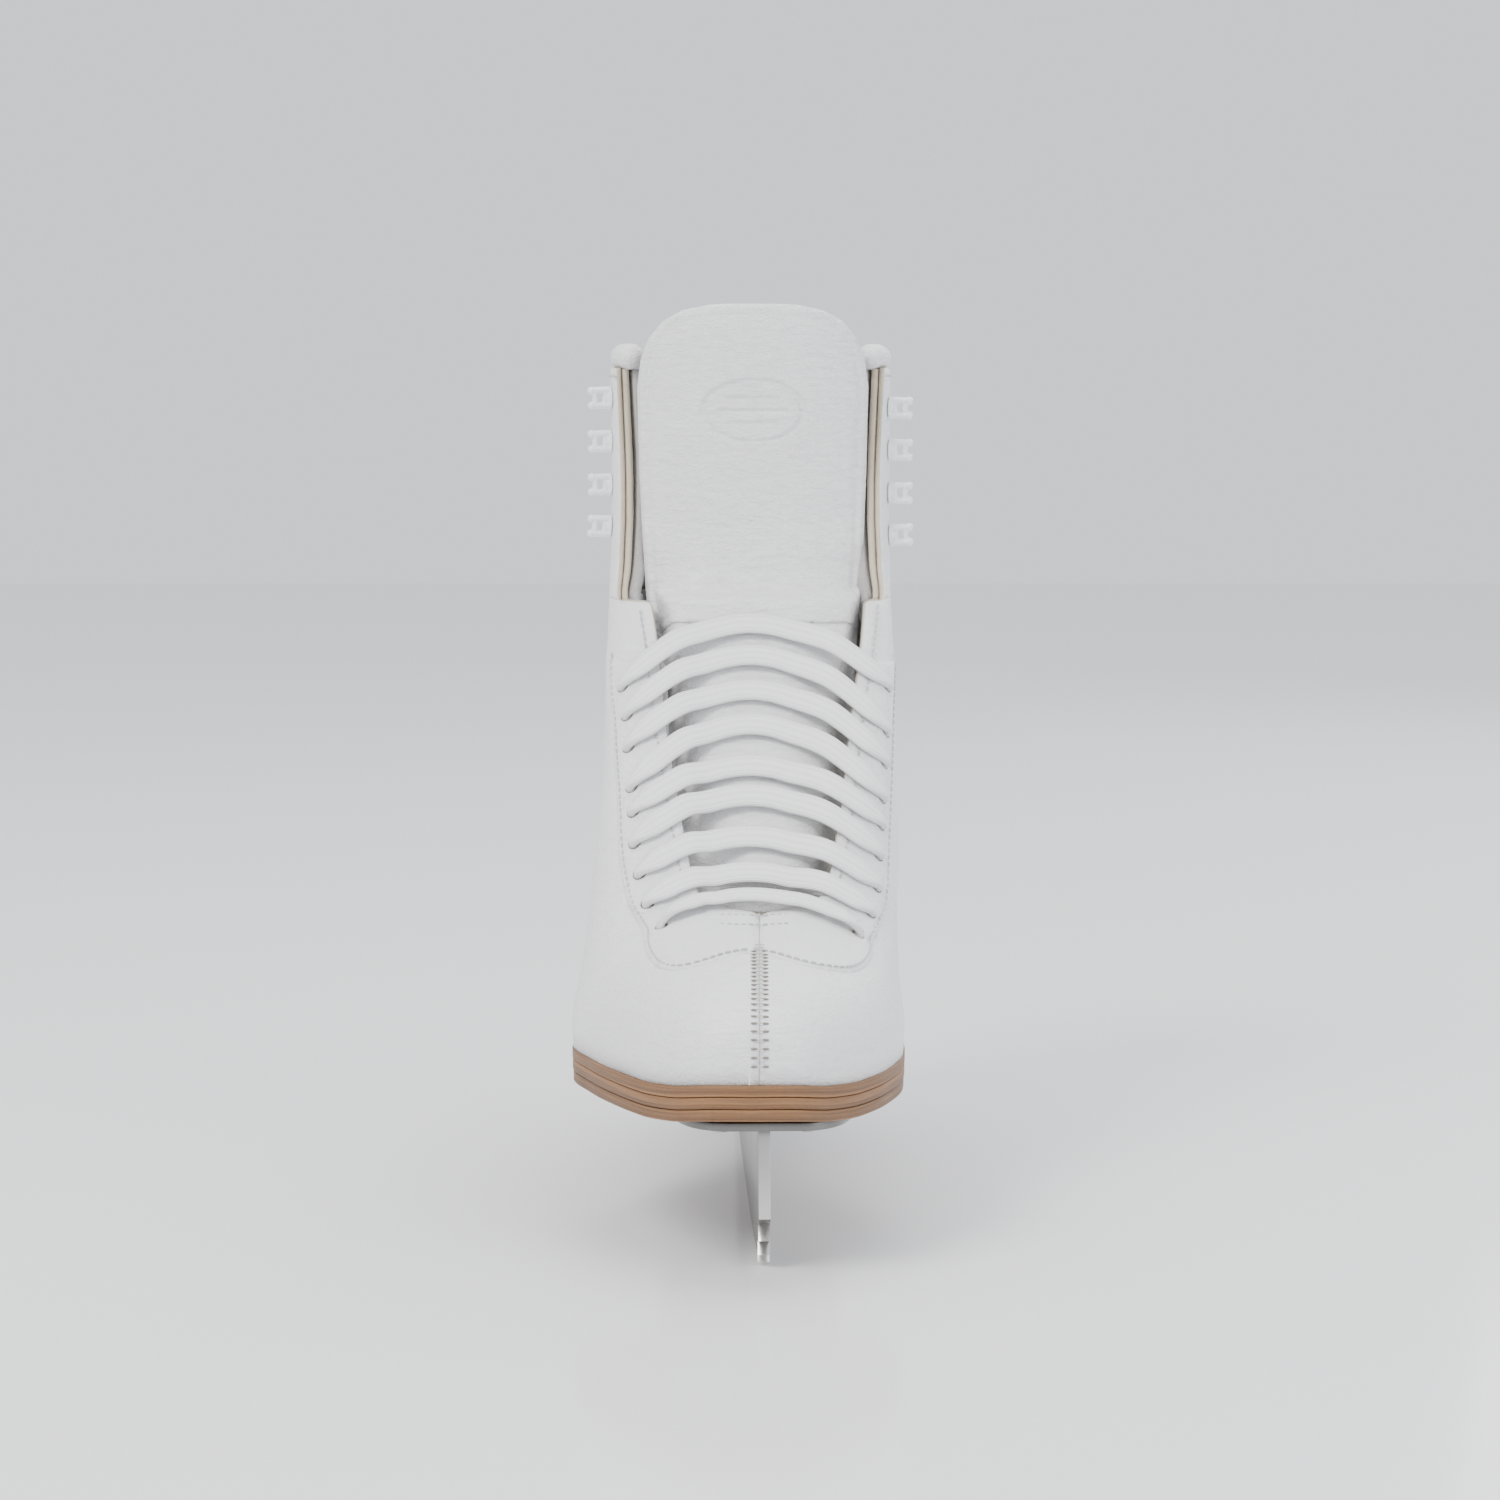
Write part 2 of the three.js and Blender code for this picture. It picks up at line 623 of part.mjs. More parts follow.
function addUpper(side) {
  const half = halfSpace(side, gap / 2);
  const holes = eyeletHoles(side);
  const hinge = 0.9;
  let quarter = leatherShell.intersect(half).subtract(throatCutter(0));
  quarter = quarter.subtract(flapSide(side, hinge));
  holes.forEach((hole) => {
    quarter = quarter.subtract(hole);
  });
  addSolid(`quarter_${side}`, quarter.subtract(laceRoom), "leather");

  const flap = leatherShell.intersect(flapSide(side, -hinge)).subtract(throatCutter(0));
  addSolid(`flap_${side}`, flap, "leather");

  // The facing stiffens the row of eyelets.
  let facing = middleShell.intersect(half).intersect(eyeletBand).subtract(throatCutter(0.4));
  facing = facing.subtract(flapSide(side, hinge)).subtract(quarter);
  facing = facing.subtract(quarter.translate([-sides[side] * gap, 0, -gap]));
  holes.forEach((hole) => {
    facing = facing.subtract(hole);
  });
  addSolid(`facing_${side}`, facing.subtract(laceRoom), "leather");

  const ankle = sideWedge([[150, 148], [190, 128], [290, 190], [290, 290], [150, 290]]);
  let padding = middleShell.intersect(half).intersect(ankle).subtract(eyeletBand);
  padding = padding.subtract(throatCutter(1)).subtract(flapSide(side, hinge));
  addSolid(`ankle_padding_${side}`, padding, "padding");

  const flapPadding = middleShell.intersect(flapSide(side, -hinge)).subtract(throatCutter(1));
  addSolid(`flap_padding_${side}`, flapPadding, "padding");

  let lining = liningShell.intersect(half).subtract(eyeletBand);
  lining = lining.subtract(throatCutter(0.8)).subtract(flapSide(side, hinge));
  addSolid(`lining_${side}`, lining, "lining");

  const flapLining = liningShell.intersect(flapSide(side, -hinge)).subtract(throatCutter(0.8));
  addSolid(`flap_lining_${side}`, flapLining, "lining");
}

Object.keys(sides).forEach(addUpper);

const toeRegion = sideWedge([[-20, 68], [54, 68], [48, 120], [-20, 120]]);
addSolid("toe_puff", middleShell.intersect(toeRegion), "board");
const counterRegion = sideWedge([[196, 0], [300, 0], [300, 181], [284, 177], [196, 122]]);
addSolid("heel_counter", middleShell.intersect(counterRegion), "board");

const strapSkin = new Skin(() => -gap);
const strapOutside = new Skin(() => -gap - 1.2);
const strapRegion = prismFromAbove([[-13, 60], [13, 60], [13, 160], [-13, 160]], 104, 262);
const strap = shell(strapOutside, strapSkin, 2).intersect(strapRegion);
addSolid("backstay", strap, "leather");

// ---- Tongue ----
const tongueDepth = (level) => paddingThickness(level) + 8.4;
const tongueSkin = new Skin(tongueDepth);
const tongueInside = new Skin((level) => tongueDepth(level) + tongueThickness);
const tongueCore = new Skin((level) => tongueDepth(level) + tongueThickness * 0.6);
const tongueCoreGap = new Skin((level) => tongueDepth(level) + tongueThickness * 0.6 + gap);
const tongueCrown = new Skin(() => 3.2);
const tongueLevels = [44, 50, 58, 68, 80, 92, 104, 116, 128, 138, 150, 170, 200, 222, tongueTop];
const tongueHinge = { height: 200, gap: 1.2 };

// The tongue bends forward above the instep.
function bendForward(solid) {
  return solid.warp((point) => {
    const rise = clamp((point[2] - 206) / 92);
    point[1] -= 15 * rise ** 1.4;
  });
}

const tongueOutline = [
  [-24, 101], [31, 101], [34, 140], [36, 170], [39, 200], [39.5, 278], [37, 288], [31, 295],
  [20, 298], [-18, 298], [-29, 295], [-35, 288], [-37.5, 278], [-36.5, 200], [-33, 170],
  [-30, 140],
];

function tongueLayer(outside, inside) {
  const body = outside.solid(tongueLevels).subtract(inside.solid(tongueLevels, 4));
  return body.intersect(prismFromFront(tongueOutline, -20, 184));
}

const crownOutline = [
  ...throatOutline(-1.6).slice(0, 3).map(([x, z]) => [x, z + 1]),
  ...throatOutline(-1.6).slice(3),
];
const crown = tongueCrown
  .solid(tongueLevels)
  .subtract(tongueSkin.solid(tongueLevels, 4))
  .intersect(prismFromFront(crownOutline, -20, 190));
const coverAll = tongueLayer(tongueSkin, tongueCore).add(crown);
const feltAll = tongueLayer(tongueCoreGap, tongueInside);

function slab(low, high) {
  return prismFromAbove([[-90, -160], [90, -160], [90, 160], [-90, 160]], low, high);
}

const lowerTongue = slab(0, tongueHinge.height - tongueHinge.gap);
const upperTongue = slab(tongueHinge.height + tongueHinge.gap, 320);
addSolid("tongue_lower", coverAll.intersect(lowerTongue).subtract(laceRoom), "leather");
addSolid("tongue_lower_felt", feltAll.intersect(lowerTongue), "lining");
addSolid("tongue_upper", bendForward(coverAll.intersect(upperTongue)), "leather");
addSolid("tongue_upper_felt", bendForward(feltAll.intersect(upperTongue)), "lining");

// ---- Padded roll along the top line ----
const rollSkin = new Skin(() => 4);

function rollPoint(side, back) {
  const height = topLine(back) + collarRadius + gap;
  const point = rollSkin.place(side, back, shaftTop - 8);
  return point.setZ(height);
}

function addRoll(name, points, steps) {
  const ring = new THREE.Shape().absarc(0, 0, collarRadius, 0, 2 * Math.PI);
  const path = new THREE.CatmullRomCurve3(points);
  const options = { steps, curveSegments: 4, bevelEnabled: false, extrudePath: path };
  return addMesh(name, new THREE.ExtrudeGeometry(ring, options), "leather");
}

const hingeTop = (side) => hookBack + (topLine(227) + 4 - hingeHeight[side]) / hingeSlope;
for (const side of Object.keys(sides)) {
  const rear = hingeTop(side) - 2.6;
  const points = [191, 200, 209, 218, rear].map((back) => rollPoint(side, back));
  addRoll(`collar_flap_${side}`, points, 8);
}
const rearHalf = (side) =>
  [0, 0.18, 0.36, 0.54, 0.72, 0.88, 1].map((part) => {
    const start = hingeTop(side) + 2.6;
    return rollPoint(side, start + (264.6 - start) * part);
  });
const rearMiddle = rollPoint("medial", 266).setX(centreX);
addRoll("collar_back", [...rearHalf("lateral"), rearMiddle, ...rearHalf("medial").reverse()], 26);

// ---- Sole, insole and heel ----
const outlineStations = [
  0, 0.5, 1.5, 3, 5, 9, 14, 20, 28, 38, 50, 63, 75, 87, 100, 115, 130, 150, 175, 200, 225, 245,
  260, 270, 277, 281, 282.6,
];
const soleMargin = 0.6;

function soleEdge(side, back) {
  const wide = soleWidth[side](back) + soleMargin;
  return sides[side] * wide * corner((282.8 - back) / 40, 2.3) + centreX;
}

function soleOutline() {
  const y = (back) => toeY + back - (back < 87 ? soleMargin : 0);
  const right = outlineStations.map((back) => [soleEdge("medial", back), y(back)]);
  const left = outlineStations.map((back) => [soleEdge("lateral", back), y(back)]);
  return [...right, ...left.reverse()];
}

const liftStations = [
  -5, 0, 6, 12, 26, 118, 127, 135, 144, 154, 164, 175, 188, 201, 215, 230, 250, 300,
];

// A band that follows the sole's side profile between two heights over its top surface.
function soleBand(low, high) {
  const bottom = liftStations.map((back) => [back, soleTop + soleLift(back) + low]);
  const top = liftStations.map((back) => [back, soleTop + soleLift(back) + high]);
  return prismFromSide([...bottom, ...top.reverse()], -90, 90);
}

const solePlan = prismFromAbove(soleOutline(), 0, 150);
const layerHeight = (soleThickness - 2 * gap) / 3;
const soleLayers = ["outsole", "midsole", "welt"].map((name, i) => {
  const low = -soleThickness + i * (layerHeight + gap);
  return { name, solid: solePlan.intersect(soleBand(low, low + layerHeight)) };
});

const ringOutline = (skin, level) => skin.ring(level).map((point) => [point.x, point.y]);
const insolePlan = prismFromAbove(ringOutline(new Skin(() => leatherThickness + 0.5), gap), 0, 150);
addSolid("insole_board", insolePlan.intersect(soleBand(gap, 2.6)), "board");
const footbedPlan = prismFromAbove(ringOutline(new Skin(() => 7.8), 2.9), 0, 150);
addSolid("footbed", footbedPlan.intersect(soleBand(2.9, 6.4)), "lining");

const shankPlan = (half, front, rear) =>
  prismFromAbove([[-half, front], [half, front], [half, rear], [-half, rear]], 0, 150);
const shankTop = -layerHeight - gap - 0.3;
const shank = shankPlan(7, -40, 92).intersect(soleBand(shankTop - 1.3, shankTop));
addSolid("shank", shank, "steel");
const shankPocket = shankPlan(7.3, -40.3, 92.3).intersect(soleBand(shankTop - 1.6, 2));
soleLayers[1].solid = soleLayers[1].solid.subtract(shankPocket);

const heel = { front: 181, layers: 4, step: 8.6 };
heel.bottom = heelPlate.bottom + heelPlate.thickness + gap;

function heelOutline(inset, front) {
  const stations = outlineStations.filter((back) => back > front + 5);
  const taper = (back) => inset * corner((283 - back) / 8, 2);
  const edge = (side, back) => soleEdge(side, back) - sides[side] * taper(back);
  const tail = (back) => toeY + back - inset * clamp((back - 240) / 43);
  const right = stations.map((back) => [edge("medial", back), tail(back)]);
  const left = stations.map((back) => [edge("lateral", back), tail(back)]);
  const breast = [[-22, front + 2], [-8, front + 5], [8, front + 5], [22, front + 2]];
  return [
    [edge("lateral", front) + 1, toeY + front],
    ...breast.map(([x, back]) => [x + centreX, toeY + back]),
    [edge("medial", front) - 1, toeY + front],
    ...right,
    ...left.reverse(),
  ];
}

const heelLifts = [];
for (let i = 0; i < heel.layers; i += 1) {
  const low = heel.bottom + i * heel.step;
  const high = i === heel.layers - 1 ? 95 : low + heel.step - gap;
  const plan = prismFromAbove(heelOutline(4.2 - 1.2 * i, heel.front + 8 - 2 * i), low, high);
  const under = soleBand(-90, -soleThickness - gap);
  heelLifts.push({ name: `heel_lift_${i + 1}`, solid: plan.intersect(under) });
}

// ---- Blade unit: everything here is turned together, so it points a little inwards ----
const bladeUnit = new THREE.Group();
bladeUnit.position.set(centreX + bladePivot.x, toeY + bladePivot.back, 0);
bladeUnit.rotation.z = THREE.MathUtils.degToRad(bladeYaw);
skate.add(bladeUnit);
bladeUnit.updateMatrixWorld(true);

const local = (back) => back - bladePivot.back;

// The runner's side: toe teeth, a rockered edge with a flat middle, and two stanchions.
function bladeShape() {
  const shape = new THREE.Shape();
  const to = (back, z) => shape.lineTo(local(back), z);
  const teeth = [
    [20.5, 33], [18, 17], [25, 14], [20.4, 9.6], [27.4, 8.2], [24.2, 4.4], [31, 4.9], [28.4, 1.2],
  ];
  const edge = [
    [35, 3.9], [38, 2.7], [58, 1.7], [82, 0.8], [105, 0.25], [125, 0], [185, 0], [207, 0.25],
    [232, 0.9], [256, 1.9], [278, 3.2], [286, 5],
  ];
  shape.moveTo(local(22), solePlate.bottom - gap);
  [...teeth, ...edge].forEach(([back, z]) => to(back, z));
  shape.quadraticCurveTo(local(291), 8, local(290), 15);
  shape.quadraticCurveTo(local(288), 21, local(280), 22);
  shape.quadraticCurveTo(local(262), 23, local(262), heelPlate.bottom - gap);
  to(214, heelPlate.bottom - gap);
  shape.bezierCurveTo(local(209), 32, local(204), 25, local(186), 25);
  to(132, 24.5);
  shape.bezierCurveTo(local(112), 25, local(105), 30, local(101), solePlate.bottom - gap);
  return shape;
}

const upright = new THREE.Matrix4();
upright.set(0, 0, 1, -bladeThickness / 2, 1, 0, 0, 0, 0, 1, 0, 0, 0, 0, 0, 1);
const runner = extrude(bladeShape(), bladeThickness).applyMatrix4(upright);
addMesh("blade", runner, "steel", bladeUnit);

const screwSpots = {
  sole: [[-13.5, 27], [13.5, 27], [-20.5, 56], [20.5, 56], [-8.5, 96], [8.5, 96]],
  heel: [[-15, 211], [15, 211], [-15, 255], [15, 255]],
};
const screw = { shank: 1.9, head: 3.7, hole: 2.3 };

function solePlateShape() {
  const shape = new THREE.Shape();
  shape.moveTo(-12, local(16));
  shape.lineTo(12, local(16));
  shape.bezierCurveTo(24, local(17), 29, local(32), 29, local(50));
  shape.bezierCurveTo(29, local(72), 15, local(80), 14, local(98));
  shape.quadraticCurveTo(13, local(107), 4, local(108));
  shape.lineTo(-4, local(108));
  shape.quadraticCurveTo(-13, local(107), -14, local(98));
  shape.bezierCurveTo(-15, local(80), -29, local(72), -29, local(50));
  shape.bezierCurveTo(-29, local(32), -24, local(17), -12, local(16));
  return shape;
}

function heelPlateShape() {
  const shape = new THREE.Shape();
  shape.moveTo(-14, local(200));
  shape.lineTo(14, local(200));
  shape.quadraticCurveTo(22, local(202), 23, local(214));
  shape.lineTo(23, local(248));
  shape.bezierCurveTo(22, local(262), 12, local(270), 0, local(270));
  shape.bezierCurveTo(-12, local(270), -22, local(262), -23, local(248));
  shape.lineTo(-23, local(214));
  shape.quadraticCurveTo(-22, local(202), -14, local(200));
  return shape;
}

function addPlate(name, shape, plate, spots) {
  spots.forEach(([x, back]) => {
    shape.holes.push(new THREE.Path().absarc(x, local(back), screw.hole, 0, 2 * Math.PI));
  });
  const geometry = extrude(shape, plate.thickness, 4).translate(0, 0, plate.bottom);
  addMesh(name, geometry, "steel", bladeUnit);
}

addPlate("sole_plate", solePlateShape(), solePlate, screwSpots.sole);
addPlate("heel_plate", heelPlateShape(), heelPlate, screwSpots.heel);

// A domed screw below its plate, with its shank going up into the sole or the heel.
function screwProfile(plate, reach) {
  const seat = plate.bottom - gap;
  return [
    [0, seat - 2.1], [screw.head * 0.7, seat - 1.6], [screw.head, seat - 0.6], [screw.head, seat],
    [screw.shank, seat], [screw.shank, reach - 1.5], [0, reach],
  ].map(([x, y]) => new THREE.Vector2(x, y));
}

const screwHoles = [];
for (const [part, spots] of Object.entries(screwSpots)) {
  const plate = part === "sole" ? solePlate : heelPlate;
  const reach = part === "sole" ? 54.5 : 70;
  spots.forEach(([x, back], i) => {
    const geometry = new THREE.LatheGeometry(screwProfile(plate, reach), 8).rotateX(Math.PI / 2);
    const mesh = addMesh(`${part}_screw_${i + 1}`, geometry, "steel", bladeUnit);
    mesh.position.set(x, local(back), 0);
    const spot = new THREE.Vector3(x, local(back), 0).applyMatrix4(bladeUnit.matrixWorld);
    const hole = new THREE.CylinderGeometry(screw.hole, screw.hole, reach + gap - 40, 8);
    hole.rotateX(Math.PI / 2).translate(spot.x, spot.y, (reach + gap + 40) / 2);
    screwHoles.push(solidOf(hole));
  });
}

[...soleLayers.slice(0, 2), ...heelLifts.slice(0, 2)].forEach((layer) => {
  screwHoles.forEach((hole) => {
    layer.solid = layer.solid.subtract(hole);
  });
});
[...soleLayers, ...heelLifts].forEach(({ name, solid }) => addSolid(name, solid, "board"));

// ---- Hooks: a foot on the leather and two arms joined by a bar ----
const hook = { reach: 8.6, half: 3.7, arm: 2.3, width: 4.2 };

function hookGeometry() {
  const shape = new THREE.Shape();
  shape.moveTo(gap, -hook.half);
  shape.lineTo(hook.reach - 1, -hook.half);
  shape.quadraticCurveTo(hook.reach, -hook.half, hook.reach, -hook.half + 1);
  shape.lineTo(hook.reach, hook.half - 1);
  shape.quadraticCurveTo(hook.reach, hook.half, hook.reach - 1, hook.half);
  shape.lineTo(gap, hook.half);
  const inner = hook.half - hook.arm;
  const window = [[2.4, -inner], [2.4, inner], [6.4, inner], [6.4, -inner]];
  shape.holes.push(new THREE.Path(window.map(([x, y]) => new THREE.Vector2(x, y))));
  return extrude(shape, hook.width, 2).translate(0, 0, -hook.width / 2);
}

const hookLevelAt = (height) => {
  const lift = soleLift(hookBack);
  return (height - soleTop - lift) / (1 - lift / shaftTop);
};
for (const side of Object.keys(sides)) {
  hookHeights[side].forEach((height, i) => {
    const level = hookLevelAt(height);
    const normal = normalAt(side, hookBack, level);
    const place = leatherSkin.place(side, hookBack, level);
    const up = new THREE.Vector3(0, 0, 1).addScaledVector(normal, -normal.z).normalize();
    const along = new THREE.Vector3().crossVectors(normal, up);
    const frame = new THREE.Matrix4().makeBasis(normal, up, along).setPosition(place);
    const mesh = addMesh(`hook_${side}_${i + 1}`, hookGeometry(), "enamel");
    mesh.applyMatrix4(frame);
  });
}

export default skate;
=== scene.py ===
import math

import bmesh
import bpy
import numpy as np
from mathutils import Matrix, Vector, noise
from mathutils.bvhtree import BVHTree


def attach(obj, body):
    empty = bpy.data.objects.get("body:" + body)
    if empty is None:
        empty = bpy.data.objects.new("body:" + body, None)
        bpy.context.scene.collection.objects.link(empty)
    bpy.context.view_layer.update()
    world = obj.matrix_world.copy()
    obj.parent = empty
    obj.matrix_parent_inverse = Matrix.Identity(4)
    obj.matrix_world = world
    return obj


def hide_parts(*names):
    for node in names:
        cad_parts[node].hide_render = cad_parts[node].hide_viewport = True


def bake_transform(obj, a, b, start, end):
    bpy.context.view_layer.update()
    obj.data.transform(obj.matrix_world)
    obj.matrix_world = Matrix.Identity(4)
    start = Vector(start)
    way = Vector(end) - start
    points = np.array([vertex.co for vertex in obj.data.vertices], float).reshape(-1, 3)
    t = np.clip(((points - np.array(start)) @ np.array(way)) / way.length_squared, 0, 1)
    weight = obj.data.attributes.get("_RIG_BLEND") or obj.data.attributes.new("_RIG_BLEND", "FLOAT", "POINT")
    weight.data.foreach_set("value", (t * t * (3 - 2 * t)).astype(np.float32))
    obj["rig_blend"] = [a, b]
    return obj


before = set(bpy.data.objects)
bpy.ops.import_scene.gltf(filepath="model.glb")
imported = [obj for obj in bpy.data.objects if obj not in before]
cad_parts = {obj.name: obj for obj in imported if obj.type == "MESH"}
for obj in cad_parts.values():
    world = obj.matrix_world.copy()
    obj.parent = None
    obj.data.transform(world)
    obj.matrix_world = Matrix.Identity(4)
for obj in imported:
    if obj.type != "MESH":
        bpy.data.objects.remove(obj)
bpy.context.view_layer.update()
mm = 0.001  # every size below is in millimetres, and meshes are made in metres

# The boot's own centre line, its toe tip and the top of its sole; "back" runs behind the toe.
boot = {"centreX": 0.33, "toeY": -144.75, "soleTop": 59.0, "shaftTop": 226.0}

# Camera, light and floor
view = {"distance": 1244.0, "height": 300.0, "tilt": 6.2, "lens": 99.84, "sensor": 36.0}
camera = bpy.data.objects.new("camera", bpy.data.cameras.new("camera"))
bpy.context.collection.objects.link(camera)
camera.data.lens = view["lens"]
camera.data.sensor_width = view["sensor"]
camera.data.clip_start = 0.05
camera.location = (
    boot["centreX"] * mm, (boot["toeY"] - view["distance"]) * mm, view["height"] * mm,
)
camera.rotation_euler = (math.radians(90 - view["tilt"]), 0, 0)
bpy.context.scene.camera = camera

studio = {
    "world": (0.93, 0.95, 1.0), "worldStrength": 1.15,
    # name, place in metres, aimed at, size, power, colour
    "lamps": [
        ("keyLamp", (-0.9, -1.0, 1.5), (0.0, -0.02, 0.15), 0.7, 32.0, (1.0, 0.985, 0.96)),
        ("fillLamp", (1.2, -0.9, 0.7), (0.0, 0.0, 0.14), 1.1, 10.0, (0.95, 0.97, 1.0)),
        ("topLamp", (0.1, 0.25, 1.7), (0.0, 0.0, 0.15), 1.0, 14.0, (1.0, 1.0, 1.0)),
        ("rimLamp", (0.8, 1.3, 0.8), (0.0, 0.05, 0.15), 0.8, 6.0, (1.0, 1.0, 1.0)),
    ],
}


def addLamp(name, place, target, size, power, colour):
    data = bpy.data.lights.new(name, "AREA")
    data.size = size
    data.energy = power
    data.color = colour
    lamp = bpy.data.objects.new(name, data)
    lamp.location = place
    lamp.rotation_euler = (Vector(target) - Vector(place)).to_track_quat("-Z", "Y").to_euler()
    bpy.context.collection.objects.link(lamp)


for lampRow in studio["lamps"]:
    addLamp(*lampRow)
world = bpy.data.worlds.new("studio")
world.use_nodes = True
world.node_tree.nodes["Background"].inputs["Color"].default_value = (*studio["world"], 1)
world.node_tree.nodes["Background"].inputs["Strength"].default_value = studio["worldStrength"]
bpy.context.scene.world = world
print("camera and lamps ready")


# Materials
def socketOf(group, name, kind, side, value=None):
    made = group.interface.new_socket(name=name, in_out=side, socket_type=kind)
    if value is not None:
        made.default_value = value
    return made


def newGroup(name, inputs, outputs):
    group = bpy.data.node_groups.new(name, "ShaderNodeTree")
    for label, kind, value in inputs:
        socketOf(group, label, kind, "INPUT", value)
    for label, kind in outputs:
        socketOf(group, label, kind, "OUTPUT")
    return group, group.nodes.new("NodeGroupInput"), group.nodes.new("NodeGroupOutput")


def addNode(tree, kind, links=(), **settings):
    node = tree.nodes.new(kind)
    for key, value in settings.items():
        setattr(node, key, value)
    for name, source in links:
        if hasattr(source, "is_linked") or hasattr(source, "links"):
            tree.links.new(source, node.inputs[name])
        else:
            node.inputs[name].default_value = source
    return node


def mathNode(tree, operation, first, second=0.5, third=0.0):
    links = [(0, first), (1, second)] + ([(2, third)] if operation == "MULTIPLY_ADD" else [])
    return addNode(tree, "ShaderNodeMath", links, operation=operation).outputs[0]


def mixColour(tree, factor, first, second, blend="MIX"):
    node = addNode(tree, "ShaderNodeMix", data_type="RGBA", blend_type=blend)
    for socket, source in ((node.inputs[0], factor), (node.inputs[6], first), (node.inputs[7], second)):
        if hasattr(source, "is_linked"):
            tree.links.new(source, socket)
        else:
            socket.default_value = source if socket == node.inputs[0] else (*source[:3], 1)
    return node.outputs[2]


def noiseNode(tree, vector, scale, detail=3.0, rough=0.55, distortion=0.0):
    links = [
        ("Vector", vector), ("Scale", scale), ("Detail", detail), ("Roughness", rough),
        ("Distortion", distortion),
    ]
    return addNode(tree, "ShaderNodeTexNoise", links).outputs[0]


def stretched(tree, vector, scale):
    return addNode(tree, "ShaderNodeMapping", [("Vector", vector), ("Scale", scale)]).outputs[0]


def makeLeatherGrain():
    # Pebbled grain with fine creases; Scale is in cells per metre.
    tree, given, out = newGroup(
        "leatherGrain",
        [("Vector", "NodeSocketVector", None), ("Scale", "NodeSocketFloat", 900.0),
         ("Creases", "NodeSocketFloat", 0.4)],
        [("Height", "NodeSocketFloat"), ("Tone", "NodeSocketFloat")],
    )
    vector = given.outputs["Vector"]
    cells = addNode(tree, "ShaderNodeTexVoronoi", [("Vector", vector)], feature="SMOOTH_F1")
    tree.links.new(given.outputs["Scale"], cells.inputs["Scale"])
    cells.inputs["Smoothness"].default_value = 0.7
    fine = noiseNode(tree, vector, 2600.0, 3.0, 0.6)
    long = noiseNode(tree, stretched(tree, vector, (210.0, 330.0, 520.0)), 1.0, 4.0, 0.6, 0.9)
    folded = mathNode(tree, "ABSOLUTE", mathNode(tree, "SUBTRACT", long, 0.5))
    crease = mathNode(tree, "SUBTRACT", 1.0, mathNode(tree, "MULTIPLY", folded, 9.0))
    crease = mathNode(tree, "MAXIMUM", crease, 0.0)
    crease = mathNode(tree, "MULTIPLY", crease, given.outputs["Creases"])
    height = mathNode(tree, "MULTIPLY_ADD", cells.outputs["Distance"], -0.9, fine)
    height = mathNode(tree, "SUBTRACT", height, crease)
    tree.links.new(height, out.inputs["Height"])
    tone = noiseNode(tree, vector, 22.0, 3.0, 0.5)
    tree.links.new(tone, out.inputs["Tone"])
    return tree


def makeWeave():
    # A flat woven tape: ribs along it and picks across, from a UV in millimetres.
    tree, given, out = newGroup(
        "tapeWeave",
        [("UV", "NodeSocketVector", None), ("Ribs", "NodeSocketFloat", 1.1),
         ("Picks", "NodeSocketFloat", 0.8)],
        [("Height", "NodeSocketFloat"), ("Shade", "NodeSocketFloat")],
    )
    parts = addNode(tree, "ShaderNodeSeparateXYZ", [("Vector", given.outputs["UV"])])
    along = mathNode(tree, "DIVIDE", parts.outputs[0], given.outputs["Picks"])
    across = mathNode(tree, "DIVIDE", parts.outputs[1], given.outputs["Ribs"])
    rib = mathNode(tree, "ABSOLUTE", mathNode(tree, "SINE", mathNode(tree, "MULTIPLY", across, math.pi)))
    # neighbouring ribs are half a pick apart, as in a twilled tape
    shifted = mathNode(tree, "MULTIPLY_ADD", mathNode(tree, "FLOOR", across), 0.5, along)
    pick = mathNode(tree, "ABSOLUTE", mathNode(tree, "SINE", mathNode(tree, "MULTIPLY", shifted, math.pi)))
    fuzz = noiseNode(tree, given.outputs["UV"], 5.0, 4.0, 0.7)
    height = mathNode(tree, "MULTIPLY", rib, 0.7)
    height = mathNode(tree, "MULTIPLY_ADD", pick, 0.45, height)
    height = mathNode(tree, "MULTIPLY_ADD", fuzz, 0.5, height)
    tree.links.new(height, out.inputs["Height"])
    # the Shade output is painted shade: the colour darkens where the weave sits low, in the grooves between
    # ribs and picks, mixed with some random fuzz
    tree.links.new(mathNode(tree, "MULTIPLY", height, 0.6), out.inputs["Shade"])
    return tree


def makeFibres():
    # Short tangled fibres of felt or a raw leather edge.
    tree, given, out = newGroup(
        "fibres",
        [("Vector", "NodeSocketVector", None), ("Scale", "NodeSocketFloat", 700.0)],
        [("Height", "NodeSocketFloat"), ("Tone", "NodeSocketFloat")],
    )
    coarse = addNode(tree, "ShaderNodeTexNoise", [("Vector", given.outputs["Vector"]), ("Detail", 6.0)])
    tree.links.new(given.outputs["Scale"], coarse.inputs["Scale"])
    coarse.inputs["Roughness"].default_value = 0.75
    coarse.inputs["Distortion"].default_value = 1.6
    broad = noiseNode(tree, given.outputs["Vector"], 90.0, 3.0)
    tree.links.new(coarse.outputs[0], out.inputs["Height"])
    tree.links.new(mathNode(tree, "MULTIPLY_ADD", broad, 0.5, coarse.outputs[0]), out.inputs["Tone"])
    return tree


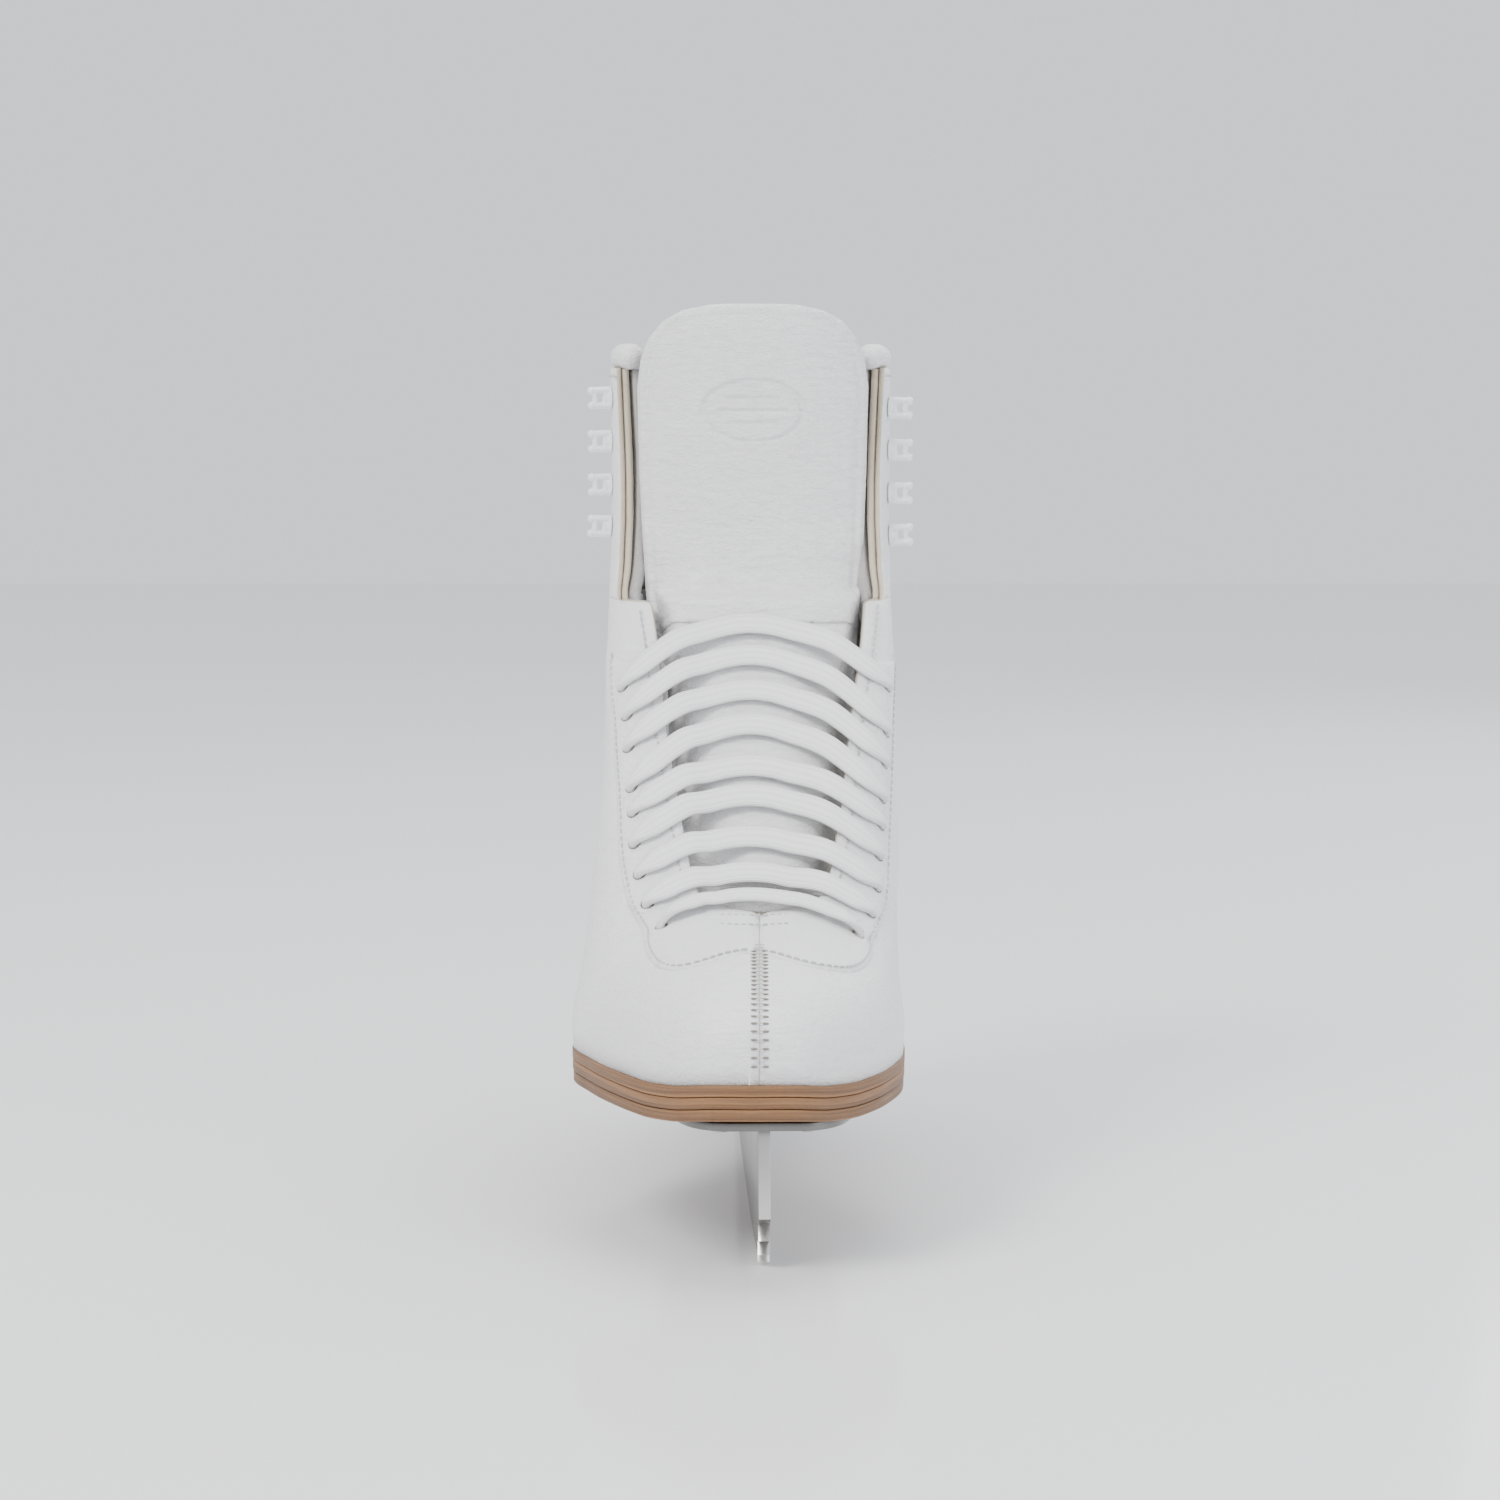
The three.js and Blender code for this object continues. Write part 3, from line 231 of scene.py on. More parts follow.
def makeScuffs():
    # Faint rubbing marks and dust, as a mask.
    tree, given, out = newGroup(
        "scuffs",
        [("Vector", "NodeSocketVector", None), ("Amount", "NodeSocketFloat", 0.3)],
        [("Mask", "NodeSocketFloat")],
    )
    broad = noiseNode(tree, given.outputs["Vector"], 35.0, 4.0, 0.65)
    sharp = noiseNode(tree, stretched(tree, given.outputs["Vector"], (60.0, 60.0, 400.0)), 6.0, 3.0)
    mask = mathNode(tree, "MULTIPLY", broad, sharp)
    mask = mathNode(tree, "SUBTRACT", mathNode(tree, "MULTIPLY", mask, 3.2), 0.55)
    node = addNode(tree, "ShaderNodeClamp", [("Value", mask)])
    tree.links.new(mathNode(tree, "MULTIPLY", node.outputs[0], given.outputs["Amount"]), out.inputs["Mask"])
    return tree


grainGroup = makeLeatherGrain()
weaveGroup = makeWeave()
fibreGroup = makeFibres()
scuffGroup = makeScuffs()


def startMaterial(name, **plain):
    material = bpy.data.materials.new(name)
    material.use_nodes = True
    tree = material.node_tree
    shader = tree.nodes["Principled BSDF"]
    for key, value in plain.items():
        shader.inputs[key].default_value = value
    where = tree.nodes.new("ShaderNodeTexCoord")
    return material, tree, shader, where.outputs["Object"], where.outputs["UV"]


def groupNode(tree, group, links):
    node = tree.nodes.new("ShaderNodeGroup")
    node.node_tree = group
    for name, source in links:
        if hasattr(source, "is_linked"):
            tree.links.new(source, node.inputs[name])
        else:
            node.inputs[name].default_value = source
    return node


def addBump(tree, shader, height, distance, strength=1.0):
    links = [("Height", height), ("Distance", distance), ("Strength", strength)]
    node = addNode(tree, "ShaderNodeBump", links)
    tree.links.new(node.outputs[0], shader.inputs["Normal"])


def setColour(tree, shader, tone, low, high, scuff=None, scuffColour=(0.5, 0.48, 0.45)):
    colour = mixColour(tree, tone, low, high)
    if scuff is not None:
        colour = mixColour(tree, scuff, colour, scuffColour)
    tree.links.new(colour, shader.inputs["Base Color"])


def setRoughness(tree, shader, tone, low, high):
    node = addNode(tree, "ShaderNodeMapRange", [("Value", tone), ("To Min", low), ("To Max", high)])
    tree.links.new(node.outputs[0], shader.inputs["Roughness"])


def leatherMaterial(name, low, high, rough=(0.36, 0.5), scale=900.0, creases=0.5, relief=0.00022):
    material, tree, shader, place, _ = startMaterial(name)
    shader.inputs["Coat Weight"].default_value = 0.12
    shader.inputs["Coat Roughness"].default_value = 0.35
    grain = groupNode(tree, grainGroup, [("Vector", place), ("Scale", scale), ("Creases", creases)])
    scuff = groupNode(tree, scuffGroup, [("Vector", place), ("Amount", 0.1)])
    setColour(tree, shader, grain.outputs["Tone"], low, high, scuff.outputs[0])
    setRoughness(tree, shader, grain.outputs["Tone"], *rough)
    addBump(tree, shader, grain.outputs["Height"], relief)
    return material


def fibreMaterial(name, low, high, scale=700.0, relief=0.0005, rough=0.95, sheen=0.25):
    material, tree, shader, place, _ = startMaterial(name, Roughness=rough)
    shader.inputs["Sheen Weight"].default_value = sheen
    fibres = groupNode(tree, fibreGroup, [("Vector", place), ("Scale", scale)])
    tone = mathNode(tree, "MULTIPLY", fibres.outputs["Tone"], 0.8)
    setColour(tree, shader, tone, low, high)
    addBump(tree, shader, fibres.outputs["Height"], relief)
    return material


def laceMaterial():
    material, tree, shader, _, uv = startMaterial("wovenLace", Roughness=0.9)
    shader.inputs["Sheen Weight"].default_value = 0.3
    weave = groupNode(tree, weaveGroup, [("UV", uv)])
    # the weave's grooves are painted darker here as painted shade, on top of a random fuzz tone
    setColour(tree, shader, weave.outputs["Shade"], (0.74, 0.74, 0.745), (0.93, 0.93, 0.93))
    addBump(tree, shader, weave.outputs["Height"], 0.00022)
    return material


def stackedMaterial():
    # Layers of brown leather board, from a UV that runs along the edge and up it.
    material, tree, shader, _, uv = startMaterial("stackedLeather", Roughness=0.5)
    parts = addNode(tree, "ShaderNodeSeparateXYZ", [("Vector", uv)])
    layers = addNode(tree, "ShaderNodeCombineXYZ", [("X", 0.0)])
    tree.links.new(mathNode(tree, "MULTIPLY", parts.outputs[0], 0.006), layers.inputs[0])
    tree.links.new(parts.outputs[1], layers.inputs[1])
    bands = noiseNode(tree, layers.outputs[0], 0.62, 2.0, 0.6)
    streaks = noiseNode(tree, stretched(tree, uv, (0.02, 2.0, 1.0)), 1.7, 5.0, 0.7)
    grain = noiseNode(tree, stretched(tree, uv, (0.25, 3.0, 1.0)), 2.2, 4.0, 0.7)
    tone = mathNode(tree, "MULTIPLY_ADD", streaks, 0.55, mathNode(tree, "MULTIPLY", bands, 0.75))
    tone = mathNode(tree, "MULTIPLY_ADD", grain, 0.25, tone)
    node = addNode(tree, "ShaderNodeValToRGB", [("Fac", tone)])
    ramp = node.color_ramp
    ramp.elements[0].position = 0.52
    ramp.elements[0].color = (0.05, 0.022, 0.009, 1)
    ramp.elements[1].position = 0.98
    ramp.elements[1].color = (0.36, 0.18, 0.072, 1)
    middle = ramp.elements.new(0.74)
    middle.color = (0.17, 0.08, 0.03, 1)
    tree.links.new(node.outputs[0], shader.inputs["Base Color"])
    setRoughness(tree, shader, grain, 0.38, 0.62)
    addBump(tree, shader, tone, 0.00035)
    return material


def steelMaterial(name, low, high, rough, brushed=(30.0, 30.0, 1400.0), relief=0.00002):
    material, tree, shader, place, _ = startMaterial(name, Metallic=1.0)
    lines = noiseNode(tree, stretched(tree, place, brushed), 1.0, 4.0, 0.7)
    broad = noiseNode(tree, place, 45.0, 3.0)
    setColour(tree, shader, broad, low, high)
    tone = mathNode(tree, "MULTIPLY_ADD", lines, 0.6, mathNode(tree, "MULTIPLY", broad, 0.4))
    setRoughness(tree, shader, tone, *rough)
    addBump(tree, shader, lines, relief)
    return material


def paintMaterial(name, low, high, rough=(0.22, 0.34), relief=0.00006):
    material, tree, shader, place, _ = startMaterial(name)
    shader.inputs["Coat Weight"].default_value = 0.5
    shader.inputs["Coat Roughness"].default_value = 0.12
    ripple = noiseNode(tree, place, 420.0, 3.0)
    setColour(tree, shader, ripple, low, high)
    setRoughness(tree, shader, ripple, *rough)
    addBump(tree, shader, ripple, relief)
    return material


materials = {
    "leather": leatherMaterial("whiteLeather", (0.8, 0.8, 0.81), (0.9, 0.9, 0.905)),
    "trim": leatherMaterial("trimLeather", (0.8, 0.8, 0.81), (0.88, 0.88, 0.885), scale=1100.0, creases=0.7),
    "rawEdge": fibreMaterial("rawEdge", (0.44, 0.36, 0.24), (0.78, 0.7, 0.56), 1500.0, 0.0003, 0.85, 0.1),
    "felt": fibreMaterial("greyFelt", (0.22, 0.21, 0.2), (0.62, 0.6, 0.58)),
    "backing": fibreMaterial("canvasBacking", (0.5, 0.43, 0.31), (0.74, 0.67, 0.53), 1100.0, 0.0003),
    "board": fibreMaterial("fibreBoard", (0.4, 0.33, 0.24), (0.6, 0.52, 0.4), 500.0, 0.0002, 0.8, 0.0),
    "thread": fibreMaterial("whiteThread", (0.42, 0.42, 0.42), (0.6, 0.6, 0.6), 2500.0, 0.0001, 0.6, 0.2),
    # dark colour for small discs that paint the shadow inside the needle holes
    "paintedHoleShadow": fibreMaterial("paintedHoleShadow", (0.16, 0.14, 0.12), (0.3, 0.27, 0.24), 900.0, 0.0001, 0.9, 0.0),
    "lace": laceMaterial(),
    "stacked": stackedMaterial(),
    # The blade's two steels are lit and shaded copies: the dark one paints the dark reflection on the blade's
    # sides, and the bright one is the running edge plus a painted highlight on the faces towards the camera
    "blade": steelMaterial("darkSideReflectionSteel", (0.17, 0.165, 0.16), (0.27, 0.26, 0.25), (0.24, 0.42)),
    "bladeEdgeAndLitFront": steelMaterial("edgeAndLitFrontSteel", (0.5, 0.49, 0.475), (0.66, 0.65, 0.63), (0.16, 0.34)),
    "plate": steelMaterial("platedSteel", (0.12, 0.118, 0.112), (0.2, 0.195, 0.19), (0.2, 0.36), (90.0,) * 3),
    "screw": steelMaterial("screwSteel", (0.7, 0.7, 0.7), (0.82, 0.82, 0.82), (0.12, 0.24), (90.0,) * 3),
    "enamel": paintMaterial("whiteEnamel", (0.78, 0.8, 0.83), (0.86, 0.875, 0.89)),
    "tip": paintMaterial("clearTip", (0.72, 0.74, 0.76), (0.8, 0.81, 0.82)),
}
print("materials ready")


# The boot's surface, as in the part: "level" is the height over the sole's top
def smoothCurve(points):
    # A smooth curve through points that never overshoots them, flat beyond both ends.
    xs, ys = np.array(points, float).T
    widths = np.diff(xs)
    rises = np.diff(ys) / widths
    slopes = np.empty_like(xs)
    slopes[0], slopes[-1] = rises[0], rises[-1]
    for i in range(1, len(xs) - 1):
        if rises[i - 1] * rises[i] <= 0:
            slopes[i] = 0
            continue
        first = 2 * widths[i] + widths[i - 1]
        second = widths[i] + 2 * widths[i - 1]
        slopes[i] = (first + second) / (first / rises[i - 1] + second / rises[i])

    def at(value):
        x = np.clip(value, xs[0], xs[-1])
        i = np.clip(np.searchsorted(xs, x, side="right") - 1, 0, len(xs) - 2)
        s = (x - xs[i]) / widths[i]
        start = (2 * s**3 - 3 * s**2 + 1) * ys[i] + (s**3 - 2 * s**2 + s) * widths[i] * slopes[i]
        return start + (3 * s**2 - 2 * s**3) * ys[i + 1] + (s**3 - s**2) * widths[i] * slopes[i + 1]

    return at


def corner(part, power):
    return (1 - (1 - np.clip(part, 0, 1)) ** power) ** (1 / power)


def ease(value):
    t = np.clip(value, 0, 1)
    return t * t * (3 - 2 * t)


topProfile = [
    (0, 6), (0.6, 11), (2.5, 17), (7, 22.5), (14, 27.5), (24, 32), (37, 36), (54, 39.5), (70, 42.5),
    (84, 46), (93, 54), (100, 62), (117, 81), (134, 100), (150, 120), (158, 132), (163, 145),
    (166, 165), (170, 500), (176, 3000),
]
topOf = smoothCurve(topProfile)
heelBack = smoothCurve([
    (0, 279), (12, 282), (28, 283), (50, 281), (75, 275), (100, 270.5), (130, 268), (160, 267), (226, 270),
])
soleLift = smoothCurve([
    (0, 3.3), (12, 1), (26, 0), (118, 0), (140, 4), (175, 19), (215, 36), (250, 41), (285, 42),
])
soleWidth = {
    "lateral": smoothCurve([
        (0, 0), (1.2, 11), (5, 17.5), (16, 27), (38, 40), (63, 50.5), (87, 57), (105, 55.5), (130, 46),
        (165, 37), (200, 35.5), (235, 35.5), (285, 34),
    ]),
    "medial": smoothCurve([
        (0, 0), (1, 12), (5, 19), (10, 23.5), (24, 33.5), (43, 42.5), (69, 48.7), (87, 49.5), (105, 48),
        (130, 41), (165, 33), (200, 33.5), (235, 35), (285, 34),
    ]),
}
upperWidth = {
    "lateral": smoothCurve([
        (0, 57), (87, 57.5), (110, 57), (130, 55), (150, 51.5), (175, 48.6), (285, 48.2),
    ]),
    "medial": smoothCurve([(0, 50), (87, 50.5), (110, 53), (130, 53), (150, 51.2), (175, 48.8), (285, 48.2)]),
}
upperShare = smoothCurve([(0, 0), (20, 0.3), (60, 0.95), (90, 1), (226, 1)])
frontRounding = smoothCurve([(0, 1.5), (46, 4), (90, 18), (120, 30), (145, 42), (226, 42)])
heelRounding = smoothCurve([(0, 40), (30, 46), (100, 66), (226, 66)])
forwardLean = smoothCurve([(0, 0), (165, 0), (226, -6)])
archRelief = smoothCurve([(0, 1), (95, 1), (120, 1.15), (150, 1.5), (165, 2.5), (176, 20)])
paddingThickness = smoothCurve([(0, 1.2), (112, 1.2), (150, 4.6), (226, 4.6)])
topLine = smoothCurve([(165, 276.5), (200, 276), (230, 273.5), (262, 268), (285, 267)])
sides = {"lateral": -1, "medial": 1}


class Skin:
    # One skin of the boot at a depth below its outer surface.
    def __init__(self, depth):
        self.depth = depth if callable(depth) else (lambda level: depth + 0 * np.asarray(level, float))
        t = np.linspace(0, 1, 91)
        back = np.where(t < 0.5, 50 * (2 * t) ** 2, 50 + 118 * (2 * t - 1))
        xs = np.append(back, [170, 176])
        ys = np.append(topOf(back), [500, 3000])
        run = np.gradient(xs)
        rise = np.gradient(ys)
        away = self.depth(np.minimum(ys, 239)) / np.hypot(run, rise)
        self.backs = np.maximum.accumulate(xs + away * rise)
        self.levels = np.maximum.accumulate(ys - away * run)

    def frontAt(self, level):
        return np.interp(level, self.levels, self.backs)

    def halfWidth(self, side, back, level):
        height = np.interp(back, self.backs, self.levels)
        share = upperShare(level)
        low = soleWidth[side](back)
        wide = np.where(np.asarray(back) < 87, low, low * (1 - share) + upperWidth[side](back) * share)
        bulge = 1 + 0.012 * np.exp(-(((level - 9) / 8) ** 2))
        arch = (1 - np.clip(level / (height * archRelief(back)), 0, 1) ** 3) ** (1 / 2.3)
        plan = corner((back - self.frontAt(level)) / frontRounding(level), 2.5)
        heel = corner((heelBack(level) - self.depth(level) - back) / heelRounding(level), 2.3)
        crown = (np.maximum(arch, 1e-4) ** -5.0 + np.maximum(plan, 1e-4) ** -5.0 - 1) ** -0.2
        return np.maximum(wide * bulge - self.depth(level), 0) * crown * heel

    def place(self, side, back, level):
        x = boot["centreX"] + sides[side] * self.halfWidth(side, back, level)
        y = boot["toeY"] + back + forwardLean(level)
        z = boot["soleTop"] + level + soleLift(back) * (1 - np.asarray(level) / boot["shaftTop"])
        return np.stack(np.broadcast_arrays(x, y, z), -1)

    def backAt(self, side, offset, level):
        low, high = self.frontAt(level), 205.0
        for _ in range(30):
            middle = (low + high) / 2
            if self.halfWidth(side, middle, level) < offset:
                low = middle
            else:
                high = middle
        return high


def backOf(points):
    # the distance behind the toe, before the shaft's slight lean is taken off
    return points[:, 1] - boot["toeY"]


def levelOf(points):
    lift = soleLift(backOf(points))
    return (points[:, 2] - boot["soleTop"] - lift) / (1 - lift / boot["shaftTop"])


leatherSkin = Skin(0.0)
paddingDepth = 3.0
feltThickness = 2.7
liningInside = Skin(lambda level: paddingDepth + paddingThickness(level) + feltThickness)


# Cutting outlines, seen from the front (x, z) or from the side (back, z)
throatLateral = [(-17.2, 109), (-19.6, 116.5), (-23.8, 135.7), (-28, 158), (-31.5, 184.9), (-34.7, 201)]
throatMedial = [(24.7, 109), (26.7, 116), (30.4, 135.2), (33.6, 159.2), (38, 184), (40.2, 201)]
flapFront = [(177, 197.5), (181, 202), (185, 212), (186.5, 226), (186.5, 310)]
hingeHeight = {"lateral": 228.75, "medial": 225.75}
hinge = {"back": 196.0, "slope": 1.49, "width": 7.0}
seamX = 3.0


def throatOutline(widen):
    left = [(x - widen, z) for x, z in throatLateral]
    right = [(x + widen, z) for x, z in throatMedial]
    low = 1.2 * widen
    bottom = [(-13 - widen, 105.5 - low), (4, 103.5 - low), (20 + 1.25 * widen, 105 - low)]
    return bottom + right + left[::-1]


def signedDistance(points, outline):
    # positive inside a closed outline
    corners = np.array(outline, float)
    after = np.roll(corners, -1, axis=0)
    edge = after - corners
    best = np.full(len(points), np.inf)
    crossings = np.zeros(len(points), int)
    for a, b, d in zip(corners, after, edge):
        t = np.clip(((points - a) @ d) / (d @ d), 0, 1)
        best = np.minimum(best, np.hypot(*(points - a - t[:, None] * d).T))
        straddles = (a[1] > points[:, 1]) != (b[1] > points[:, 1])
        reach = a[0] + (points[:, 1] - a[1]) * d[0] / (d[1] if abs(d[1]) > 1e-12 else 1e-12)
        crossings += straddles & (points[:, 0] < reach)
    return np.where(crossings % 2 == 1, best, -best)


def fromFront(outline, points):
    flat = np.stack([points[:, 0] - boot["centreX"], points[:, 2]], -1)
    return signedDistance(flat, outline)


def fromSide(outline, points):
    return signedDistance(np.stack([backOf(points), points[:, 2]], -1), outline)


def outsideThroat(widen):
    # positive on the leather's side of the throat, the notch and the flaps' front edges
    setBack = widen * 0.2
    opening = [(-20, 197.5 - setBack)] + [(b + setBack, z) for b, z in flapFront] + [(-20, 310)]

    def field(points):
        throat = np.where(backOf(points) < 205, fromFront(throatOutline(widen), points), -99.0)
        return -np.maximum(throat, fromSide(opening, points))

    return field


def belowTop(drop):
    return lambda points: topLine(backOf(points)) - drop - points[:, 2]


def onSide(side, margin):
    return lambda points: sides[side] * (points[:, 0] - boot["centreX"] - seamX) - margin


# Making meshes
def deselect():
    if bpy.context.object and bpy.context.object.mode != "OBJECT":
        bpy.ops.object.mode_set(mode="OBJECT")
    bpy.ops.object.select_all(action="DESELECT")


def meshPiece(name, bm, *slots):
    mesh = bpy.data.meshes.new(name)
    bm.to_mesh(mesh)
    bm.free()
    piece = bpy.data.objects.new(name, mesh)
    bpy.context.collection.objects.link(piece)
    for slotName in slots:
        mesh.materials.append(materials[slotName])
    mesh.shade_smooth()
    return piece


def points(bm):
    return np.array([v.co for v in bm.verts], float).reshape(-1, 3)


def skinMesh(skin, rows, columns, lowest, highest=None, power=1.8):
    # A whole skin: columns run round from the toe by the medial side, rows upwards.
    deselect()
    bpy.ops.mesh.primitive_grid_add(x_subdivisions=columns, y_subdivisions=rows, size=1)
    sheet = bpy.context.object
    bm = bmesh.new()
    bm.from_mesh(sheet.data)
    bpy.data.objects.remove(sheet)
    flat = points(bm) + 0.5
    highest = boot["shaftTop"] if highest is None else highest
    # rows are spaced evenly along the front profile
    profile = np.array(topProfile[:-2], float)
    dense = np.linspace(0, 166, 400)
    heights = np.append(topOf(dense), highest)
    runs = np.append(dense, 166)
    travel = np.concatenate([[0], np.cumsum(np.hypot(np.diff(runs), np.diff(heights)))])
    travel = (travel + 0.35 * heights) / (travel[-1] + 0.35 * heights[-1])
    levels = np.maximum(np.interp(flat[:, 1], travel, heights), 0)
    levels = np.where(flat[:, 1] < travel[0], heights[0] * flat[:, 1] / travel[0], levels)
    levels = lowest + levels * (highest - lowest) / highest
    lap = flat[:, 0] * 2
    part = np.where(lap <= 1, lap, 2 - lap)
    part = np.where(part < 1e-4, 0, part)  # so that both ends meet at the front
    start = part**power
    front = skin.frontAt(levels)
    heel = heelBack(levels) - skin.depth(levels)
    back = front + (heel - front) * start / (start + (1 - part) ** power)
    medial, lateral = skin.place("medial", back, levels), skin.place("lateral", back, levels)
    place = np.where((lap <= 1)[:, None], medial, lateral)
    for vertex, co in zip(bm.verts, place):
        vertex.co = co
    bmesh.ops.remove_doubles(bm, verts=bm.verts, dist=0.02)
    bmesh.ops.recalc_face_normals(bm, faces=bm.faces)
    face = max(bm.faces, key=lambda f: f.calc_center_median().z)
    middle = Vector((boot["centreX"], boot["toeY"] + 225, face.calc_center_median().z))
    if face.normal.dot(face.calc_center_median() - middle) < 0:
        bmesh.ops.reverse_faces(bm, faces=bm.faces)
    return bm


def trim(bm, field, near=0.06):
    # Keeps the part of a sheet where a field is above zero, cut cleanly along it.
    values = field(points(bm))
    bm.verts.index_update()
    values[np.abs(values) < near] = 0
    value = dict(zip(bm.verts, values))
    fresh = set()
    for edge in list(bm.edges):
        a, b = edge.verts
        if value[a] * value[b] < 0:
            _, made = bmesh.utils.edge_split(edge, a, value[a] / (value[a] - value[b]))
            value[made] = 0
            fresh.add(made)
    for face in list(bm.faces):
        signs = [value[v] for v in face.verts]
        if min(signs) >= 0 or max(signs) <= 0:
            continue
        zeros = [v for v in face.verts if value[v] == 0]
        if len(zeros) == 2:
            try:
                bmesh.utils.face_split(face, zeros[0], zeros[1])
            except ValueError:
                pass
    doomed = [f for f in bm.faces if sum(value[v] for v in f.verts) < 0]
    bmesh.ops.delete(bm, geom=doomed, context="FACES")
    loose = [v for v in bm.verts if not v.link_faces]
    bmesh.ops.delete(bm, geom=loose, context="VERTS")
    return bm


def keepLargest(bm):
    # Leaves the largest connected sheet.
    bm.verts.ensure_lookup_table()
    seen, best = set(), []
    for start in bm.verts:
        if start in seen:
            continue
        group, stack = [], [start]
        seen.add(start)
        while stack:
            vertex = stack.pop()
            group.append(vertex)
            for edge in vertex.link_edges:
                other = edge.other_vert(vertex)
                if other not in seen:
                    seen.add(other)
                    stack.append(other)
        if len(group) > len(best):
            best = group
    keep = set(best)
    bmesh.ops.delete(bm, geom=[v for v in bm.verts if v not in keep], context="VERTS")


def wall(bm, outer, inner, rim=1, back=0, normals=None):
    # Turns a sheet into a closed wall between two offsets along its normals, outer above inner.
    bm.normal_update()
    front = list(bm.verts)
    faces = list(bm.faces)
    borders = [e for e in bm.edges if e.is_boundary]
    normals = [v.normal.copy() for v in front] if normals is None else normals
    places = [v.co.copy() for v in front]
    made = bmesh.ops.duplicate(bm, geom=front + list(bm.edges) + faces)
    pair = made["vert_map"]
    for vertex, co, normal, high, low in zip(front, places, normals, outer, inner):
        vertex.co = co + normal * float(high)
        pair[vertex].co = co + normal * float(low)
    rearFaces = [made["face_map"][f] for f in faces]
    bmesh.ops.reverse_faces(bm, faces=rearFaces)
    for face in rearFaces:
        face.material_index = back
    for edge in borders:
        loop = edge.link_loops[0]
        a, b = loop.vert, loop.link_loop_next.vert
        strip = bm.faces.new((b, a, pair[a], pair[b]))
        strip.material_index = rim
        strip.smooth = False
    return bm


flexLevel = 197.6  # the foot of the flaps: nothing below it bends


def bentWalls(name, bm, outer, inner, looks, slotName, lowNodes, flapNodes, side):
    # One sheet made into a lower piece fixed to the boot and an upper one that bends with the flap.
    bm.normal_update()
    keys = {key: bm.verts.layers.float.new(key) for key in ("outer", "inner", "nx", "ny", "nz")}
    for vertex, high, low in zip(bm.verts, outer, inner):
        values = (float(high), float(low), *vertex.normal)
        for layer, value in zip(keys.values(), values):
            vertex[layer] = value
    for part, sign in (("", 1), ("_flap", -1)):
        half = bm.copy()
        trim(half, lambda spots: sign * (flexLevel - spots[:, 2]), 0.02)
        keepLargest(half)
        own = half.verts.layers.float
        table = [[v[own[key]] for v in half.verts] for key in ("outer", "inner", "nx", "ny", "nz")]
        normals = [Vector(row).normalized() for row in zip(*table[2:])]
        wall(half, table[0], table[1], normals=normals)
        for key in ("outer", "inner", "nx", "ny", "nz"):
            half.verts.layers.float.remove(half.verts.layers.float[key])
        piece = meshPiece(name + "_" + side + part, half, *looks)
        if part:
            finishPiece(piece, None, slotName, *flapNodes)
            bendWith(piece, side)
        else:
            finishPiece(piece, "boot", slotName, *lowNodes)
    bm.free()


def finishPiece(piece, body, slotName, *nodes):
    piece.data.transform(Matrix.Scale(mm, 4))
    if nodes:
        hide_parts(*nodes)
    if body:
        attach(piece, body)
    return piece


def bendWith(piece, side):
    # The leather folds over a few millimetres on each side of the flap's bending line.
    across = Vector((0, -hinge["slope"], 1)).normalized() * hinge["width"]
    middle = Vector((boot["centreX"] + 48.4 * sides[side], boot["toeY"] + hinge["back"], hingeHeight[side]))
    start, end = (middle - across * 0.15) * mm, (middle + across * 0.85) * mm
    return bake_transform(piece, "boot", side + "_flap", start=tuple(start), end=tuple(end))


# Places on the leather
def unit(vector):
    return vector / np.linalg.norm(vector)


def normalAt(side, back, level, skin=leatherSkin):
    ahead, behind = skin.place(side, back - 1, level), skin.place(side, back + 1, level)
    below, above = skin.place(side, back, level - 1), skin.place(side, back, level + 1)
    return sides[side] * unit(np.cross(behind - ahead, above - below))


def overLeather(side, back, level, height):
    return leatherSkin.place(side, back, level) + normalAt(side, back, level) * height


def overFront(offset, level, height):
    side = "lateral" if offset < 0 else "medial"
    back = leatherSkin.backAt(side, max(abs(offset), 0.5), level)
    point = overLeather(side, back, level, height)
    if abs(offset) < 0.5:
        point[0] = boot["centreX"] + offset
    return point


def surfaceFrame(side, back, level):
    normal = normalAt(side, back, level)
    slope = np.array([0, 0.66, 0.75])
    up = unit(slope - normal * (slope @ normal))
    inward = unit(np.cross(up, normal))
    if inward[0] * sides[side] > 0:
        inward = -inward
    return {"point": leatherSkin.place(side, back, level), "normal": normal, "up": up, "inward": inward}


# Each eyelet by its distance from the centre line and its level, from the top row down.
eyeletRows = {
    "lateral": [
        (42.5, 107), (41, 99.5), (40.3, 91), (38.9, 80), (38.2, 72.6), (37.6, 63.2), (35.8, 54), (33, 45.5),
        (28.2, 40.2),
    ],
    "medial": [
        (46, 106), (45.4, 94), (44.6, 85.6), (43.6, 75.9), (42.9, 68.2), (42, 59), (41.2, 49.6), (38.8, 42.2),
        (34.5, 37),
    ],
}
rowLevels = [128.4, 119.1, 109.2, 99.4, 87.9, 79.1, 66.9, 56.3, 47.2]
bottomRow = len(rowLevels) - 1
eyelets = {
    side: [surfaceFrame(side, leatherSkin.backAt(side, offset, level), level) for offset, level in rows]
    for side, rows in eyeletRows.items()
}


